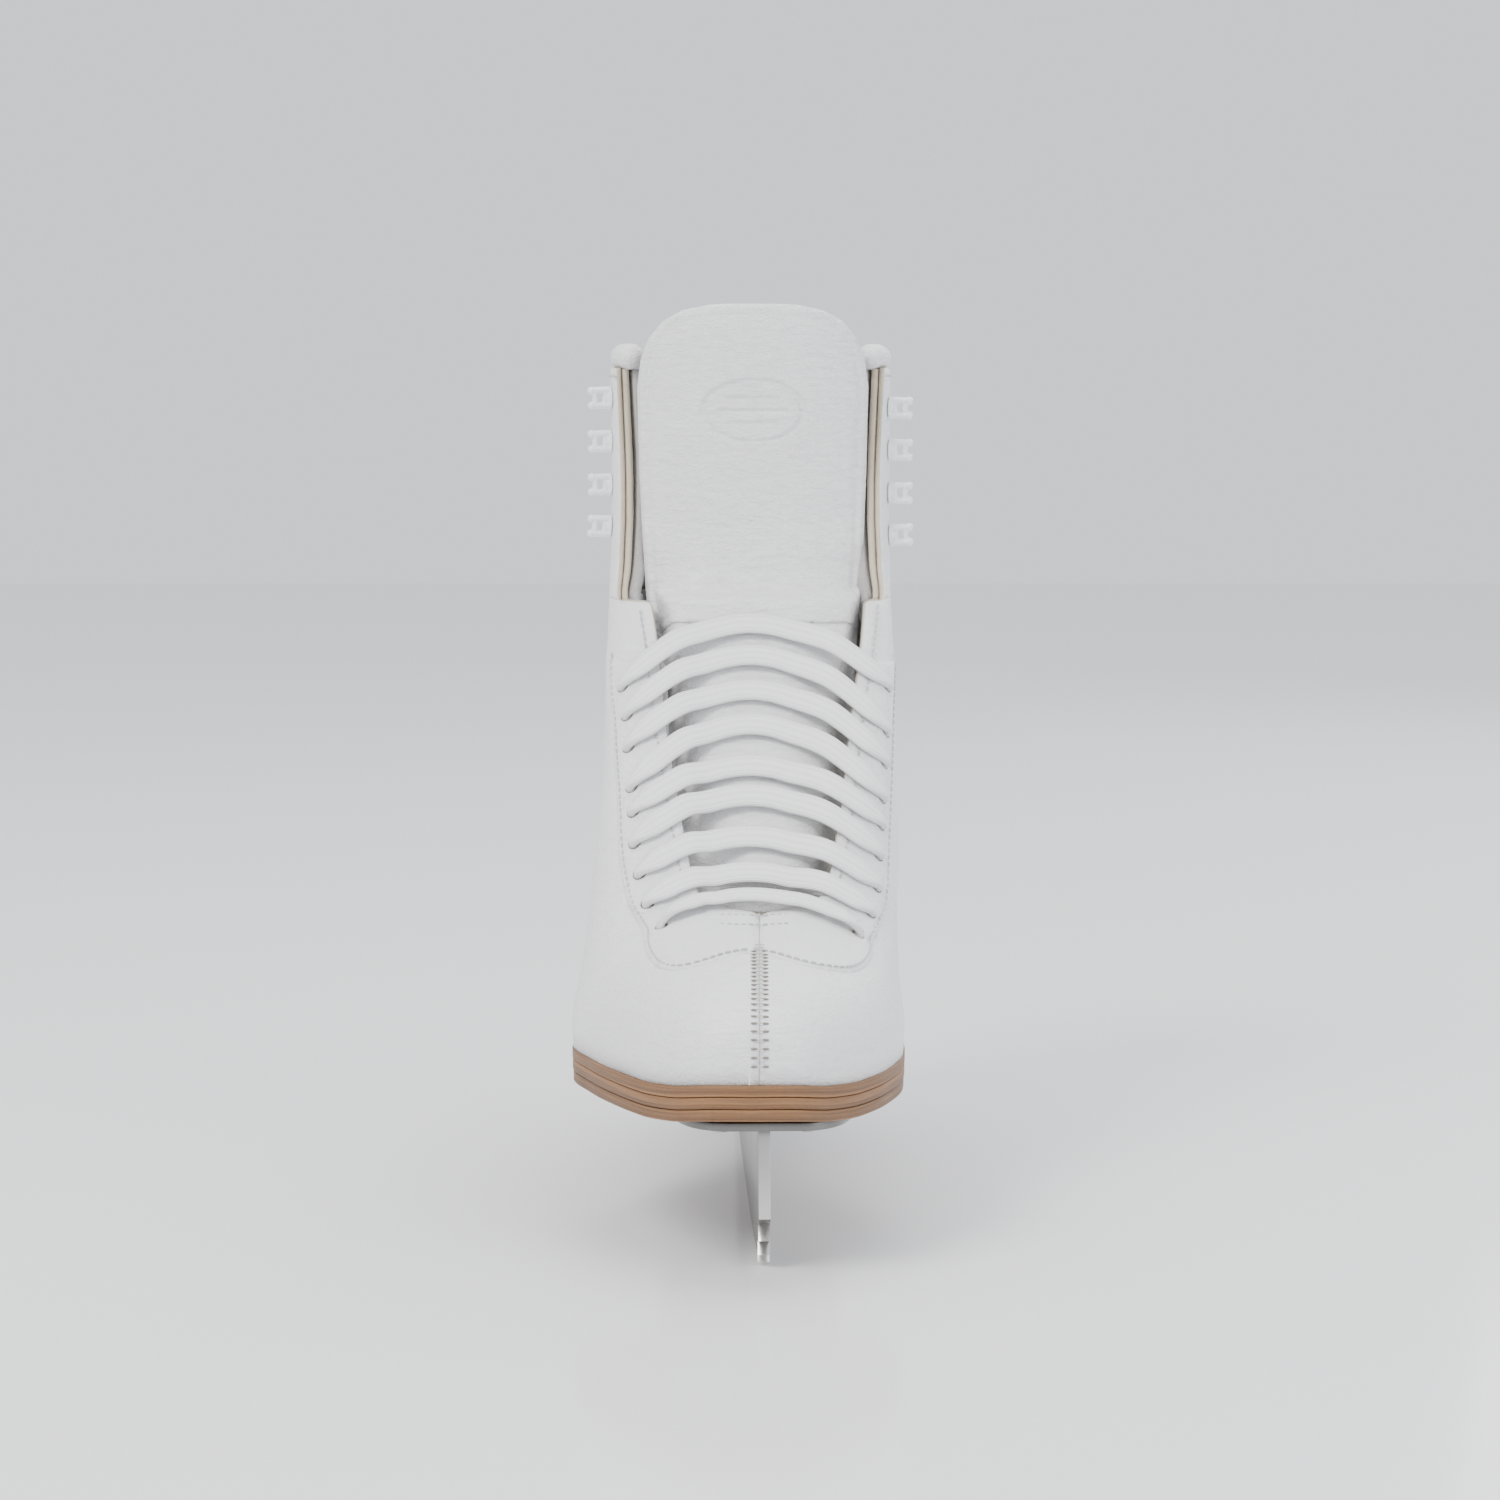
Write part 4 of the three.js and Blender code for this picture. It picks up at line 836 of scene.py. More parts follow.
# Rings, tubes and stitches
def loftMesh(name, rings, slotNames, uvs=None):
    # A closed body through rings of points, with a fan over each end.
    rings = np.asarray(rings, float)
    count, around = rings.shape[:2]
    places = rings.reshape(-1, 3).tolist()
    places += [rings[0].mean(0).tolist(), rings[-1].mean(0).tolist()]
    start, end, top = count * around, count * around + 1, (count - 1) * around
    faces = []
    for i in range(count - 1):
        for j in range(around):
            a, b = i * around + j, i * around + (j + 1) % around
            faces.append((a, b, b + around, a + around))
    for j in range(around):
        after = (j + 1) % around
        faces.append((start, after, j))
        faces.append((end, top + j, top + after))
    mesh = bpy.data.meshes.new(name)
    mesh.from_pydata(places, [], faces)
    piece = bpy.data.objects.new(name, mesh)
    bpy.context.collection.objects.link(piece)
    for slotName in slotNames:
        mesh.materials.append(materials[slotName])
    if uvs is not None:
        layer = mesh.uv_layers.new(name="alongTape")
        table = np.zeros((len(faces) * 4, 2))
        at = 0
        for i in range(count - 1):
            for j in range(around):
                after = uvs[1][j + 1]
                here, ahead = uvs[0][i], uvs[0][i + 1]
                table[at: at + 4] = [(here, uvs[1][j]), (here, after), (ahead, after), (ahead, uvs[1][j])]
                at += 4
        flat = np.zeros(len(mesh.loops) * 2)
        flat[: at * 2] = table[:at].ravel()
        layer.data.foreach_set("uv", flat)
    mesh.shade_smooth()
    faceOutwards(piece)
    return piece


def faceOutwards(piece):
    bm = bmesh.new()
    bm.from_mesh(piece.data)
    if bm.calc_volume(signed=True) < 0:
        bmesh.ops.reverse_faces(bm, faces=bm.faces)
        bm.to_mesh(piece.data)
    bm.free()


def alongPath(path, step):
    # Evenly spaced places along a path.
    path = np.asarray(path, float)
    lengths = np.concatenate([[0], np.cumsum(np.linalg.norm(np.diff(path, axis=0), axis=1))])
    spots = np.arange(0, lengths[-1], step)
    return np.stack([np.interp(spots, lengths, path[:, i]) for i in range(3)], -1)


def smoothPath(path, parts=8):
    # A Catmull-Rom curve through the points.
    p = np.asarray(path, float)
    padded = np.vstack([2 * p[0] - p[1], p, 2 * p[-1] - p[-2]])
    t = np.arange(parts)[:, None] / parts
    out = []
    for a, b, c, d in zip(padded, padded[1:], padded[2:], padded[3:]):
        square, cube = 2 * a - 5 * b + 4 * c - d, 3 * b - a - 3 * c + d
        out.append(0.5 * (2 * b + (c - a) * t + square * t**2 + cube * t**3))
    return np.vstack(out + [p[-1:]])


outerSkin = skinMesh(leatherSkin, 90, 200, 0.3)
leatherTree = BVHTree.FromBMesh(outerSkin)
outerSkin.free()


def onLeather(spot, height=0.0):
    # The nearest place on the leather, a height above it, and the leather's normal there.
    place, normal, _, _ = leatherTree.find_nearest(Vector(spot))
    return np.array(place + normal * height), np.array(normal)


def stitchGroup(verts, faces, spots, normals, along, length, radius, rise=0.2):
    # Adds one arched stitch at each spot to lists of points and faces.
    steps = [(-0.5, 0.35, -1.0), (-0.36, 0.85, 0.2), (0.0, 1.0, 1.0), (0.36, 0.85, 0.2), (0.5, 0.35, -1.0)]
    for spot, normal, way in zip(spots, normals, along):
        way = unit(way - normal * (way @ normal))
        aside = np.cross(normal, way)
        first = len(verts)
        for shift, share, lift in steps:
            centre = spot + way * shift * length + normal * (lift * rise)
            for k in range(6):
                angle = k * math.pi / 3
                verts.append(centre + (aside * math.cos(angle) + normal * math.sin(angle)) * radius * share)
        for i in range(len(steps) - 1):
            for k in range(6):
                a, b = first + i * 6 + k, first + i * 6 + (k + 1) % 6
                faces.append((a, b, b + 6, a + 6))
        faces.append(tuple(first + k for k in range(5, -1, -1)))
        faces.append(tuple(first + (len(steps) - 1) * 6 + k for k in range(6)))


def facesPiece(name, verts, faces, slotName):
    mesh = bpy.data.meshes.new(name)
    mesh.from_pydata([tuple(v) for v in verts], [], faces)
    mesh.materials.append(materials[slotName])
    mesh.shade_smooth()
    piece = bpy.data.objects.new(name, mesh)
    bpy.context.collection.objects.link(piece)
    faceOutwards(piece)
    return piece


def stitchPiece(name, lines):
    # lines: (path on the surface, height over the leather, pitch, length, radius)
    verts, faces = [], []
    for path, height, pitch, length, radius in lines:
        spots = alongPath(path, pitch)
        ways = np.gradient(spots, axis=0)
        found = [onLeather(spot, height) for spot in spots]
        stitchGroup(verts, faces, [f[0] for f in found], [f[1] for f in found], ways, length, radius)
    return facesPiece(name, verts, faces, "thread")


# Lace: one flat ribbon through every eyelet, straight across each row
lace = {
    "ribbon": (8.3, 1.6), "gathered": (5.4, 1.9), "pinched": (3.2, 2.6),  # width, thickness
    "lowBar": -1.2, "highBar": 2.3, "bottomRest": 1.4, "between": 4, "around": 16,
}
hiddenDepth = smoothCurve([(38, 8.4), (52, 7.9), (70, 6.9), (110, 6.7)])
tailSkin = Skin(lambda level: liningInside.depth(level) + 3)
stations = []


def addStation(point, across, section="ribbon"):
    stations.append((point, across, lace[section]))


def addBar(row, start, end):
    first, last = eyelets[start][row], eyelets[end][row]
    levels = {start: eyeletRows[start][row][1], end: eyeletRows[end][row][1]}
    count = 14
    for i in range(1, count):
        t = i / count
        x = first["point"][0] + (last["point"][0] - first["point"][0]) * t - boot["centreX"]
        near = "lateral" if x < 0 else "medial"
        edgeX = abs((first if near == start else last)["point"][0] - boot["centreX"])
        part = min(abs(x) / edgeX, 1)
        level = rowLevels[row] + (levels[near] - rowLevels[row]) * part**2
        rest = lace["bottomRest"] if row == bottomRow else min(max((part - 0.36) / 0.2, 0), 1)
        height = lace["lowBar"] + (lace["highBar"] - lace["lowBar"]) * rest
        across = unit(first["up"] * (1 - t) + last["up"] * t)
        addStation(overFront(x, level, height), across, "gathered" if part > 0.88 else "ribbon")


def addPass(side, row, inward):
    place = eyelets[side][row]
    steps = [(1.6, place["up"]), (-1.6, unit(place["up"] + place["inward"])), (-5.8, place["inward"])]
    for height, across in steps if inward else steps[::-1]:
        addStation(place["point"] + place["normal"] * height, across, "pinched")


def addRun(side, fromRow, toRow):
    (startOffset, startLevel), (endOffset, endLevel) = eyeletRows[side][fromRow], eyeletRows[side][toRow]
    for t in (0.3, 0.5, 0.7):
        offset = sides[side] * (startOffset + (endOffset - startOffset) * t)
        level = startLevel + (endLevel - startLevel) * t
        across = unit(eyelets[side][fromRow]["inward"] * (1 - t) + eyelets[side][toRow]["inward"] * t)
        addStation(overFront(offset, level, -hiddenDepth(level)), across)


def tailPoints(side):
    crossing = [overLeather(side, 177, 112, -6.4), overLeather(side, 184, 116, -7.8)]
    path = [(196, 121), (205, 117), (211, 107), (214, 95), (216, 82)]
    return crossing + [tailSkin.place(side, back, level) for back, level in path]


def addLongRun():
    offsets = [9, 8.2, 8.2, 8.2, 8.2, 8.2, 7.8, 5]
    rows = np.arange(len(offsets))
    edges = [boot["centreX"] - place["point"][0] for place in eyelets["lateral"][:8]]
    levels = [level for _, level in eyeletRows["lateral"][:8]]
    for at in np.arange(0, len(offsets) - 0.9, 0.5):
        edge = np.interp(at, rows, edges)
        part = 1 - np.interp(at, rows, offsets) / edge
        centre = np.interp(at, rows, rowLevels[:8])
        level = centre + (np.interp(at, rows, levels) - centre) * part**2
        across = eyelets["lateral"][int(math.floor(at + 0.5))]["inward"]
        addStation(overFront(-part * edge, level, -hiddenDepth(level)), across)


def addTail(side, towardsEnd):
    path = np.array(tailPoints(side))
    ways = np.gradient(path, axis=0)
    wide = [unit(np.cross(way, [sides[side], 0, 0])) for way in ways]
    wide = [-w if w[2] < 0 else w for w in wide]
    for i in range(len(path)) if towardsEnd else range(len(path) - 1, -1, -1):
        addStation(path[i], wide[i])


addTail("lateral", False)
addLongRun()
for row in range(bottomRow, -1, -1):
    start, end = ("lateral", "medial") if (bottomRow - row) % 2 == 0 else ("medial", "lateral")
    addPass(start, row, False)
    addBar(row, start, end)
    addPass(end, row, True)
    if row > 0:
        addRun(end, row, row - 1)
addTail("medial", True)


def makeLace():
    path = np.array([station[0] for station in stations])
    across = []
    for i, (point, way, _) in enumerate(stations):
        along = unit(path[min(i + 1, len(path) - 1)] - path[max(i - 1, 0)])
        wide = unit(way - along * (way @ along))
        across.append(-wide if across and wide @ across[-1] < -0.2 else wide)
    sizes = np.array([station[2] for station in stations], float)
    parts = lace["between"]
    places = smoothPath(path, parts)
    wide = smoothPath(across, parts)
    sizes = np.maximum(smoothPath(np.column_stack([sizes, sizes[:, 0]]), parts)[:, :2], 0.8)
    travel = np.concatenate([[0], np.cumsum(np.linalg.norm(np.diff(places, axis=0), axis=1))])
    along = np.gradient(places, axis=0)
    angles = np.arange(lace["around"]) * 2 * math.pi / lace["around"]
    rings = []
    for place, way, side, (width, thick) in zip(places, along, wide, sizes):
        way = unit(way)
        side = unit(side - way * (side @ way))
        up = np.cross(way, side)
        # a soft flat section with full, rounded edges
        x = np.sign(np.cos(angles)) * np.abs(np.cos(angles)) ** 0.55
        y = np.sign(np.sin(angles)) * np.abs(np.sin(angles)) ** 0.75
        rings.append(place + np.outer(x * width / 2, side) + np.outer(y * thick / 2, up))
    around = np.concatenate([[0], np.cumsum([7.5 * 2.3 / lace["around"]] * lace["around"])])
    piece = loftMesh("laceRibbon", rings, ["lace"], (travel, around))
    print("lace length in mm:", round(float(travel[-1]), 1))
    return finishPiece(piece, "boot", "lace_fabric", "lace")


makeLace()


# Upper leather
def noiseAt(place, size):
    return noise.noise(Vector(place) / size)


bandSide = [(58, 76), (82, 76), (100, 94), (184, 168), (190, 196), (58, 196)]
ankleSide = [(150, 148), (190, 128), (290, 190), (290, 290), (150, 290)]
eyeletSize = {"hole": 2.3, "dimple": 0.35}


def cutEyelets(bm, side, radius, grow=6.0):
    # Rounds a hole through a sheet at each eyelet.
    for place in eyelets[side]:
        middle = place["point"]
        centre = Vector(middle)
        near = [
            e for e in bm.edges
            if ((e.verts[0].co + e.verts[1].co) / 2 - centre).length < grow and e.calc_length() > 0.8
        ]
        bmesh.ops.subdivide_edges(bm, edges=near, cuts=2, use_grid_fill=True)

        def field(spots, middle=middle, normal=place["normal"]):
            away = spots - middle
            flat = away - np.outer(away @ normal, normal)
            deep = np.abs(away @ normal) > 12
            return np.where(deep, 50.0, np.linalg.norm(flat, axis=1) - radius)

        # the field is above zero everywhere but in the hole, so nothing else is cut
        trim(bm, field, 0.05)
    return bm


upperSheets = {}


def addUpper(side):
    bm = skinMesh(leatherSkin, 120, 280, 0.2)
    trim(bm, onSide(side, 0.05))
    trim(bm, belowTop(0))
    trim(bm, outsideThroat(0))
    keepLargest(bm)
    cutEyelets(bm, side, eyeletSize["hole"])
    bm.normal_update()
    spots = points(bm)
    seam = np.abs(spots[:, 0] - boot["centreX"] - seamX)
    groove = 0.7 * np.exp(-((seam / 1.3) ** 2)) * (seam < 6)
    dimple = np.zeros(len(spots))
    for place in eyelets[side]:
        away = np.linalg.norm(spots - place["point"], axis=1)
        dimple = np.maximum(dimple, eyeletSize["dimple"] * np.exp(-((away / 3.4) ** 2)))
    ripple = np.array([noiseAt(v.co, 26.0) * 0.35 + noiseAt(v.co, 9.0) * 0.08 for v in bm.verts])
    edge = np.minimum(outsideThroat(0)(spots), belowTop(0)(spots))
    rounded = 0.5 * (1 - ease(edge / 1.6))
    outer = -groove - dimple + ripple * ease(edge / 8) - rounded
    upperSheets[side] = (bm.copy(), outer)
    bentWalls(
        "upperLeather", bm, outer, np.full(len(spots), -2.1), ("leather", "rawEdge"), "white_leather",
        ["quarter_" + side], ["flap_" + side], side,
    )


for side in sides:
    addUpper(side)
print("upper leather ready")


# Backing board and felt lining behind the leather
def bandField(spots):
    return np.minimum(fromFront(throatOutline(24), spots), fromSide(bandSide, spots))


def addBacking(side):
    bm = skinMesh(Skin(2.2), 80, 150, 0.5)
    trim(bm, onSide(side, 0.3))
    trim(bm, lambda spots: np.maximum(
        np.where(backOf(spots) < 205, bandField(spots), -50.0), fromSide(ankleSide, spots)))
    trim(bm, belowTop(0.4))
    trim(bm, outsideThroat(0.35))
    keepLargest(bm)
    cutEyelets(bm, side, eyeletSize["hole"] + 0.2)
    bm.normal_update()
    deep = paddingThickness(levelOf(points(bm)))
    ragged = np.array([noiseAt(v.co, 1.7) * 0.12 for v in bm.verts])
    bentWalls(
        "backing", bm, -0.1 + ragged, -np.maximum(deep * 0.42, 1.1) + ragged, ("backing", "rawEdge"), "foam",
        ["facing_" + side, "ankle_padding_" + side], ["flap_padding_" + side], side,
    )


def addLining(side):
    bm = skinMesh(Skin(lambda level: 2.6 + paddingThickness(level) * 0.5), 70, 140, 2.6)
    trim(bm, onSide(side, 0.2))
    trim(bm, belowTop(0.6))
    trim(bm, outsideThroat(0.9))
    trim(bm, lambda spots: np.maximum(
        spots[:, 2] - 172, -np.where(backOf(spots) < 205, bandField(spots), -50.0)))
    keepLargest(bm)
    bm.normal_update()
    spots = points(bm)
    deep = paddingThickness(levelOf(spots)) * 0.5 + 2.6
    rough = np.array([noiseAt(v.co, 2.4) * 0.22 + noiseAt(v.co, 14.0) * 0.4 for v in bm.verts])
    edge = np.minimum(outsideThroat(0.9)(spots), belowTop(0.6)(spots))
    rounded = 0.9 * (1 - ease(edge / 2.5))
    bentWalls(
        "feltLining", bm, rough * 0.4 - 0.1, -deep + rough + rounded, ("felt", "felt"), "felt",
        ["lining_" + side], ["flap_lining_" + side], side,
    )


for side in sides:
    addBacking(side)
    addLining(side)
print("backing and lining ready")


# Eyestay: the stitched strip that carries the eyelets
eyestay = {"height": 0.95, "under": -0.25, "reach": 6.6, "softness": 0.9}

# the strip's foot, by distance from the centre line and level
eyestayFoot = {
    "lateral": [(33.6, 35.2), (30.2, 32.5), (25, 32.0), (18, 33.6), (12, 35.3), (6, 36.8), (0.2, 37.3)],
    "medial": [
        (39.6, 32.0), (36.6, 30.4), (31.5, 30.6), (25, 32.2), (18, 34), (12, 35.5), (6, 36.9), (0.2, 37.3),
    ],
}


def eyestayPath(side):
    # the stitched edge, from the top of the throat round the lowest eyelet to the throat's foot
    path = []
    top = eyelets[side][0]
    path.append(top["point"] - top["inward"] * eyestay["reach"] + top["up"] * 15)
    path += [place["point"] - place["inward"] * eyestay["reach"] for place in eyelets[side]]
    for offset, level in eyestayFoot[side]:
        path.append(overFront(sides[side] * offset, level, 0))
    path = alongPath(smoothPath([onLeather(p)[0] for p in path], 8), 0.8)
    for _ in range(30):
        path[1:-1] = (path[:-2] + path[1:-1] * 2 + path[2:]) / 4
    return np.array([onLeather(p)[0] for p in path])


eyestayLines = {side: eyestayPath(side) for side in sides}


def insideEyestay(side):
    # the strip's outline seen from the front, closed along the centre line
    path = eyestayLines[side]
    flat = [(x - boot["centreX"], z) for x, _, z in path[::2]]
    flat += [(seamX, flat[-1][1]), (seamX, flat[0][1])]

    def field(spots):
        return np.where(backOf(spots) < 200, fromFront(flat, spots), -50.0)

    return field


def addEyestay(side):
    bm, raised = upperSheets[side]
    lift = bm.verts.layers.float.new("lift")
    for vertex, value in zip(bm.verts, raised):
        vertex[lift] = value
    trim(bm, insideEyestay(side))
    keepLargest(bm)
    bm.normal_update()
    spots = points(bm)
    base = np.array([v[lift] for v in bm.verts])
    edge = insideEyestay(side)(spots)
    inner = outsideThroat(0)(spots)
    rounded = eyestay["softness"] * (1 - ease(edge / 1.1)) + 0.35 * (1 - ease(inner / 1.2))
    pressed = 0.3 * np.exp(-(((edge - 1.9) / 0.7) ** 2)) + 0.25 * np.exp(-(((inner - 3.4) / 0.8) ** 2))
    wall(bm, base + eyestay["height"] - rounded - pressed, base + eyestay["under"])
    piece = meshPiece("eyestay_" + side, bm, "leather", "rawEdge")
    return finishPiece(piece, "boot", "white_leather")


for side in sides:
    addEyestay(side)
print("eyestay ready")


# Sole, heel, footbed: slabs with rounded edges
def soleEdge(side, back):
    return boot["centreX"] + sides[side] * (soleWidth[side](back) + 0.6) * corner((282.8 - back) / 40, 2.3)


def slabPiece(name, right, left, low, high, soft, *slotNames, baseV=0.0, lean=0.0):
    # right and left: matching edges from front to rear, as (x, back); low and high by back
    right, left = np.asarray(right, float), np.asarray(left, float)
    loop = np.vstack([right, left[::-1]])
    n, half = len(loop), len(right)
    ahead, behind = np.roll(loop, -1, axis=0), np.roll(loop, 1, axis=0)
    way = ahead - behind
    normal = np.stack([way[:, 1], -way[:, 0]], -1)
    normal /= np.maximum(np.linalg.norm(normal, axis=1), 1e-9)[:, None]
    middle = loop.mean(0)
    if ((loop - middle) * normal).sum() < 0:
        normal = -normal
    travel = np.concatenate([[0], np.cumsum(np.linalg.norm(np.diff(loop, axis=0), axis=1))])
    r = soft
    shape = [(r, 0, 0), (r * 0.3, 0, r * 0.3), (0, 0, r), (0, 1, -r), (r * 0.3, 1, -r * 0.3), (r, 1, 0)]
    # the pattern runs both ways from the toe, so that it meets itself there
    around = travel[-1] + np.linalg.norm(loop[0] - loop[-1])
    travel = np.minimum(travel, around - travel)
    verts, vs = [], []
    for inset, end, rise in shape:
        spot = loop - normal * (inset + lean * (1 - end))
        base = (high if end else low)(loop[:, 1])
        verts.append(np.column_stack([spot[:, 0], spot[:, 1] + boot["toeY"], base + rise]))
        vs.append(baseV + (base - soleLift(loop[:, 1]) + rise))
    faces, uv = [], []
    for k in range(len(shape) - 1):
        for i in range(n):
            j = (i + 1) % n
            faces.append((k * n + i, k * n + j, (k + 1) * n + j, (k + 1) * n + i))
            here, over = travel[i], travel[j]
            uv += [(here, vs[k][i]), (over, vs[k][j]), (over, vs[k + 1][j]), (here, vs[k + 1][i])]
    for k, turned in ((0, True), (len(shape) - 1, False)):
        for i in range(half - 1):
            quad = [k * n + i, k * n + i + 1, k * n + n - 2 - i, k * n + n - 1 - i]
            if turned:
                quad = quad[::-1]
            flat = np.vstack(verts)
            if len({tuple(np.round(flat[q], 5)) for q in quad}) < 3:
                continue
            faces.append(tuple(quad))
            uv += [(flat[q][1], flat[q][0] * 0.2) for q in quad]
    mesh = bpy.data.meshes.new(name)
    mesh.from_pydata(np.vstack(verts).tolist(), [], faces)
    layer = mesh.uv_layers.new(name="edgeLayers")
    layer.data.foreach_set("uv", np.array(uv).ravel())
    for slotName in slotNames:
        mesh.materials.append(materials[slotName])
    bm = bmesh.new()
    bm.from_mesh(mesh)
    bmesh.ops.remove_doubles(bm, verts=bm.verts, dist=1e-3)
    bmesh.ops.recalc_face_normals(bm, faces=bm.faces)
    bm.to_mesh(mesh)
    bm.free()
    mesh.shade_smooth()
    piece = bpy.data.objects.new(name, mesh)
    bpy.context.collection.objects.link(piece)
    faceOutwards(piece)
    return piece


def soleLevel(height):
    return lambda back: boot["soleTop"] + soleLift(back) + height


outlineBacks = 282.6 * (1 - np.cos(np.linspace(0, 1, 150) * math.pi)) / 2
outlineBacks = np.unique(np.concatenate([outlineBacks, np.linspace(0, 6, 14)]))
soleSettings = {"thickness": 11.0, "gap": 0.3, "soft": 0.35, "insets": (0.35, 0.1, 0.0)}
layerHeight = (soleSettings["thickness"] - 2 * soleSettings["gap"]) / 3
for i, layerName in enumerate(["outsole", "midsole", "welt"]):
    low = -soleSettings["thickness"] + i * (layerHeight + soleSettings["gap"])
    inset = soleSettings["insets"][i]
    edges = {
        side: [
            (soleEdge(side, b) - sides[side] * inset * min(b / 3, 1), b - 0.6 * (b < 87) * (1 - b / 87))
            for b in outlineBacks
        ]
        for side in sides
    }
    soleLayer = slabPiece(
        "sole_" + layerName, edges["medial"], edges["lateral"],
        soleLevel(low), soleLevel(low + layerHeight + 0.12), soleSettings["soft"], "stacked",
    )
    finishPiece(soleLayer, "boot", "stacked_leather", layerName)

heelSettings = {"front": 181, "layers": 4, "step": 8.6, "bottom": 54.3, "soft": 0.4}
for i in range(heelSettings["layers"]):
    inset, front = 3.0 - 1.0 * i, heelSettings["front"] + 6 - 2 * i
    low = heelSettings["bottom"] + i * heelSettings["step"]
    high = 130.0 if i == heelSettings["layers"] - 1 else low + heelSettings["step"] - 0.12
    backs = front + 1 + (281.6 - front) * np.sin(np.linspace(0, 1, 90) * math.pi / 2)
    edges = {
        side: [
            (soleEdge(side, b) - sides[side] * inset * float(corner((283 - b) / 8, 2)),
             b - inset * min(max((b - 240) / 43, 0), 1))
            for b in backs
        ]
        for side in sides
    }
    under = soleLevel(-soleSettings["thickness"] - 0.2)
    liftPiece = slabPiece(
        "heelLift_" + str(i + 1), edges["medial"], edges["lateral"],
        lambda back, low=low: low + 0 * back,
        lambda back, high=high, low=low: np.maximum(np.minimum(high + 0 * back, under(back)), low + 1.0),
        heelSettings["soft"], "stacked", baseV=3.0, lean=0.9 if i < 3 else 0.3,
    )
    finishPiece(liftPiece, "boot", "stacked_leather", "heel_lift_" + str(i + 1))

footbedSkin = Skin(7.8)
bedBacks = footbedSkin.frontAt(5.0) + (heelBack(5.0) - 7.9 - footbedSkin.frontAt(5.0)) * (
    1 - np.cos(np.linspace(0.001, 0.999, 90) * math.pi)) / 2
bedEdges = {
    side: [(boot["centreX"] + sides[side] * float(footbedSkin.halfWidth(side, b, 5.0)), b) for b in bedBacks]
    for side in sides
}
footbedPiece = slabPiece(
    "footbedFelt", bedEdges["medial"], bedEdges["lateral"], soleLevel(2.9), soleLevel(6.4), 1.2, "felt",
)
finishPiece(footbedPiece, "boot", "felt", "footbed")
print("sole and heel ready")


# Blade, plates and screws, all turned a little inwards together
bladeUnit = {"x": 4.5, "back": 20.0, "yaw": 1.77, "thickness": 3.7, "bevel": 0.35}
unitTurn = Matrix.Translation((boot["centreX"] + bladeUnit["x"], boot["toeY"] + bladeUnit["back"], 0)) @ (
    Matrix.Rotation(math.radians(bladeUnit["yaw"]), 4, "Z"))
solePlate = {"bottom": 45.0, "thickness": 2.7}
heelPlate = {"bottom": 51.0, "thickness": 3.0}


def curveTo(start, controls, end, count=14):
    # a Bezier curve with one or two control points, without its start
    t = np.linspace(0, 1, count + 1)[1:, None]
    layers = [np.repeat(spot[None], count, axis=0) for spot in np.array([start, *controls, end], float)]
    while len(layers) > 1:
        layers = [a * (1 - t) + b * t for a, b in zip(layers, layers[1:])]
    return [tuple(row) for row in layers[0]]


def outlineOf(start, moves):
    path = [start]
    for move in moves:
        if len(move) == 1:
            path.append(move[0])
        else:
            path += curveTo(path[-1], move[:-1], move[-1])
    return path


def extrudedPiece(name, outline, holes, toSpace, depth, bevel, *slotNames):
    # a flat outline with holes, filled, thickened and bevelled
    bm = bmesh.new()
    for ring in [outline, *holes]:
        made = [bm.verts.new(toSpace(u, v, 0.0)) for u, v in ring]
        for a, b in zip(made, made[1:] + made[:1]):
            bm.edges.new((a, b))
    bmesh.ops.triangle_fill(bm, edges=bm.edges, use_beauty=True, use_dissolve=False)
    pushed = bmesh.ops.extrude_face_region(bm, geom=bm.faces[:])
    shift = Vector(toSpace(0, 0, depth)) - Vector(toSpace(0, 0, 0))
    for item in pushed["geom"]:
        if isinstance(item, bmesh.types.BMVert):
            item.co += shift
    bmesh.ops.recalc_face_normals(bm, faces=bm.faces)
    mesh = bpy.data.meshes.new(name)
    bm.to_mesh(mesh)
    bm.free()
    for slotName in slotNames:
        mesh.materials.append(materials[slotName])
    piece = bpy.data.objects.new(name, mesh)
    bpy.context.collection.objects.link(piece)
    deselect()
    piece.select_set(True)
    bpy.context.view_layer.objects.active = piece
    if bevel:
        modifier = piece.modifiers.new("bevel", "BEVEL")
        modifier.width = bevel
        modifier.segments = 2
        modifier.limit_method = "ANGLE"
        modifier.angle_limit = math.radians(28)
        modifier.use_clamp_overlap = True
        bpy.ops.object.modifier_apply(modifier="bevel")
    faceOutwards(piece)
    bpy.ops.object.shade_smooth_by_angle(angle=math.radians(32))
    return piece


def local(back):
    return back - bladeUnit["back"]


bladeMoves = [
    # toe teeth, the edge, the tail and the two stanchions
    [(20.5, 33)], [(18, 17)], [(25, 14)], [(20.4, 9.6)], [(27.4, 8.2)], [(24.2, 4.4)], [(31, 4.9)],
    [(28.4, 1.2)], [(35, 3.9)], [(38, 2.7)], [(58, 1.7)], [(82, 0.8)], [(105, 0.25)], [(125, 0)],
    [(185, 0)], [(207, 0.25)], [(232, 0.9)], [(256, 1.9)], [(278, 3.2)], [(286, 5)],
    [(291, 8), (290, 15)], [(288, 21), (280, 22)], [(262, 23), (262, 50.7)], [(214, 50.7)],
    [(209, 32), (204, 25), (186, 25)], [(132, 24.5)], [(112, 25), (105, 30), (101, 44.7)],
]
bladePath = [(local(b), z) for b, z in outlineOf((22, 44.7), bladeMoves)]
bladePiece = extrudedPiece(
    "blade_runner", bladePath, [],
    lambda u, v, w: (w - bladeUnit["thickness"] / 2, u, v), bladeUnit["thickness"], bladeUnit["bevel"],
    "blade", "bladeEdgeAndLitFront",
)
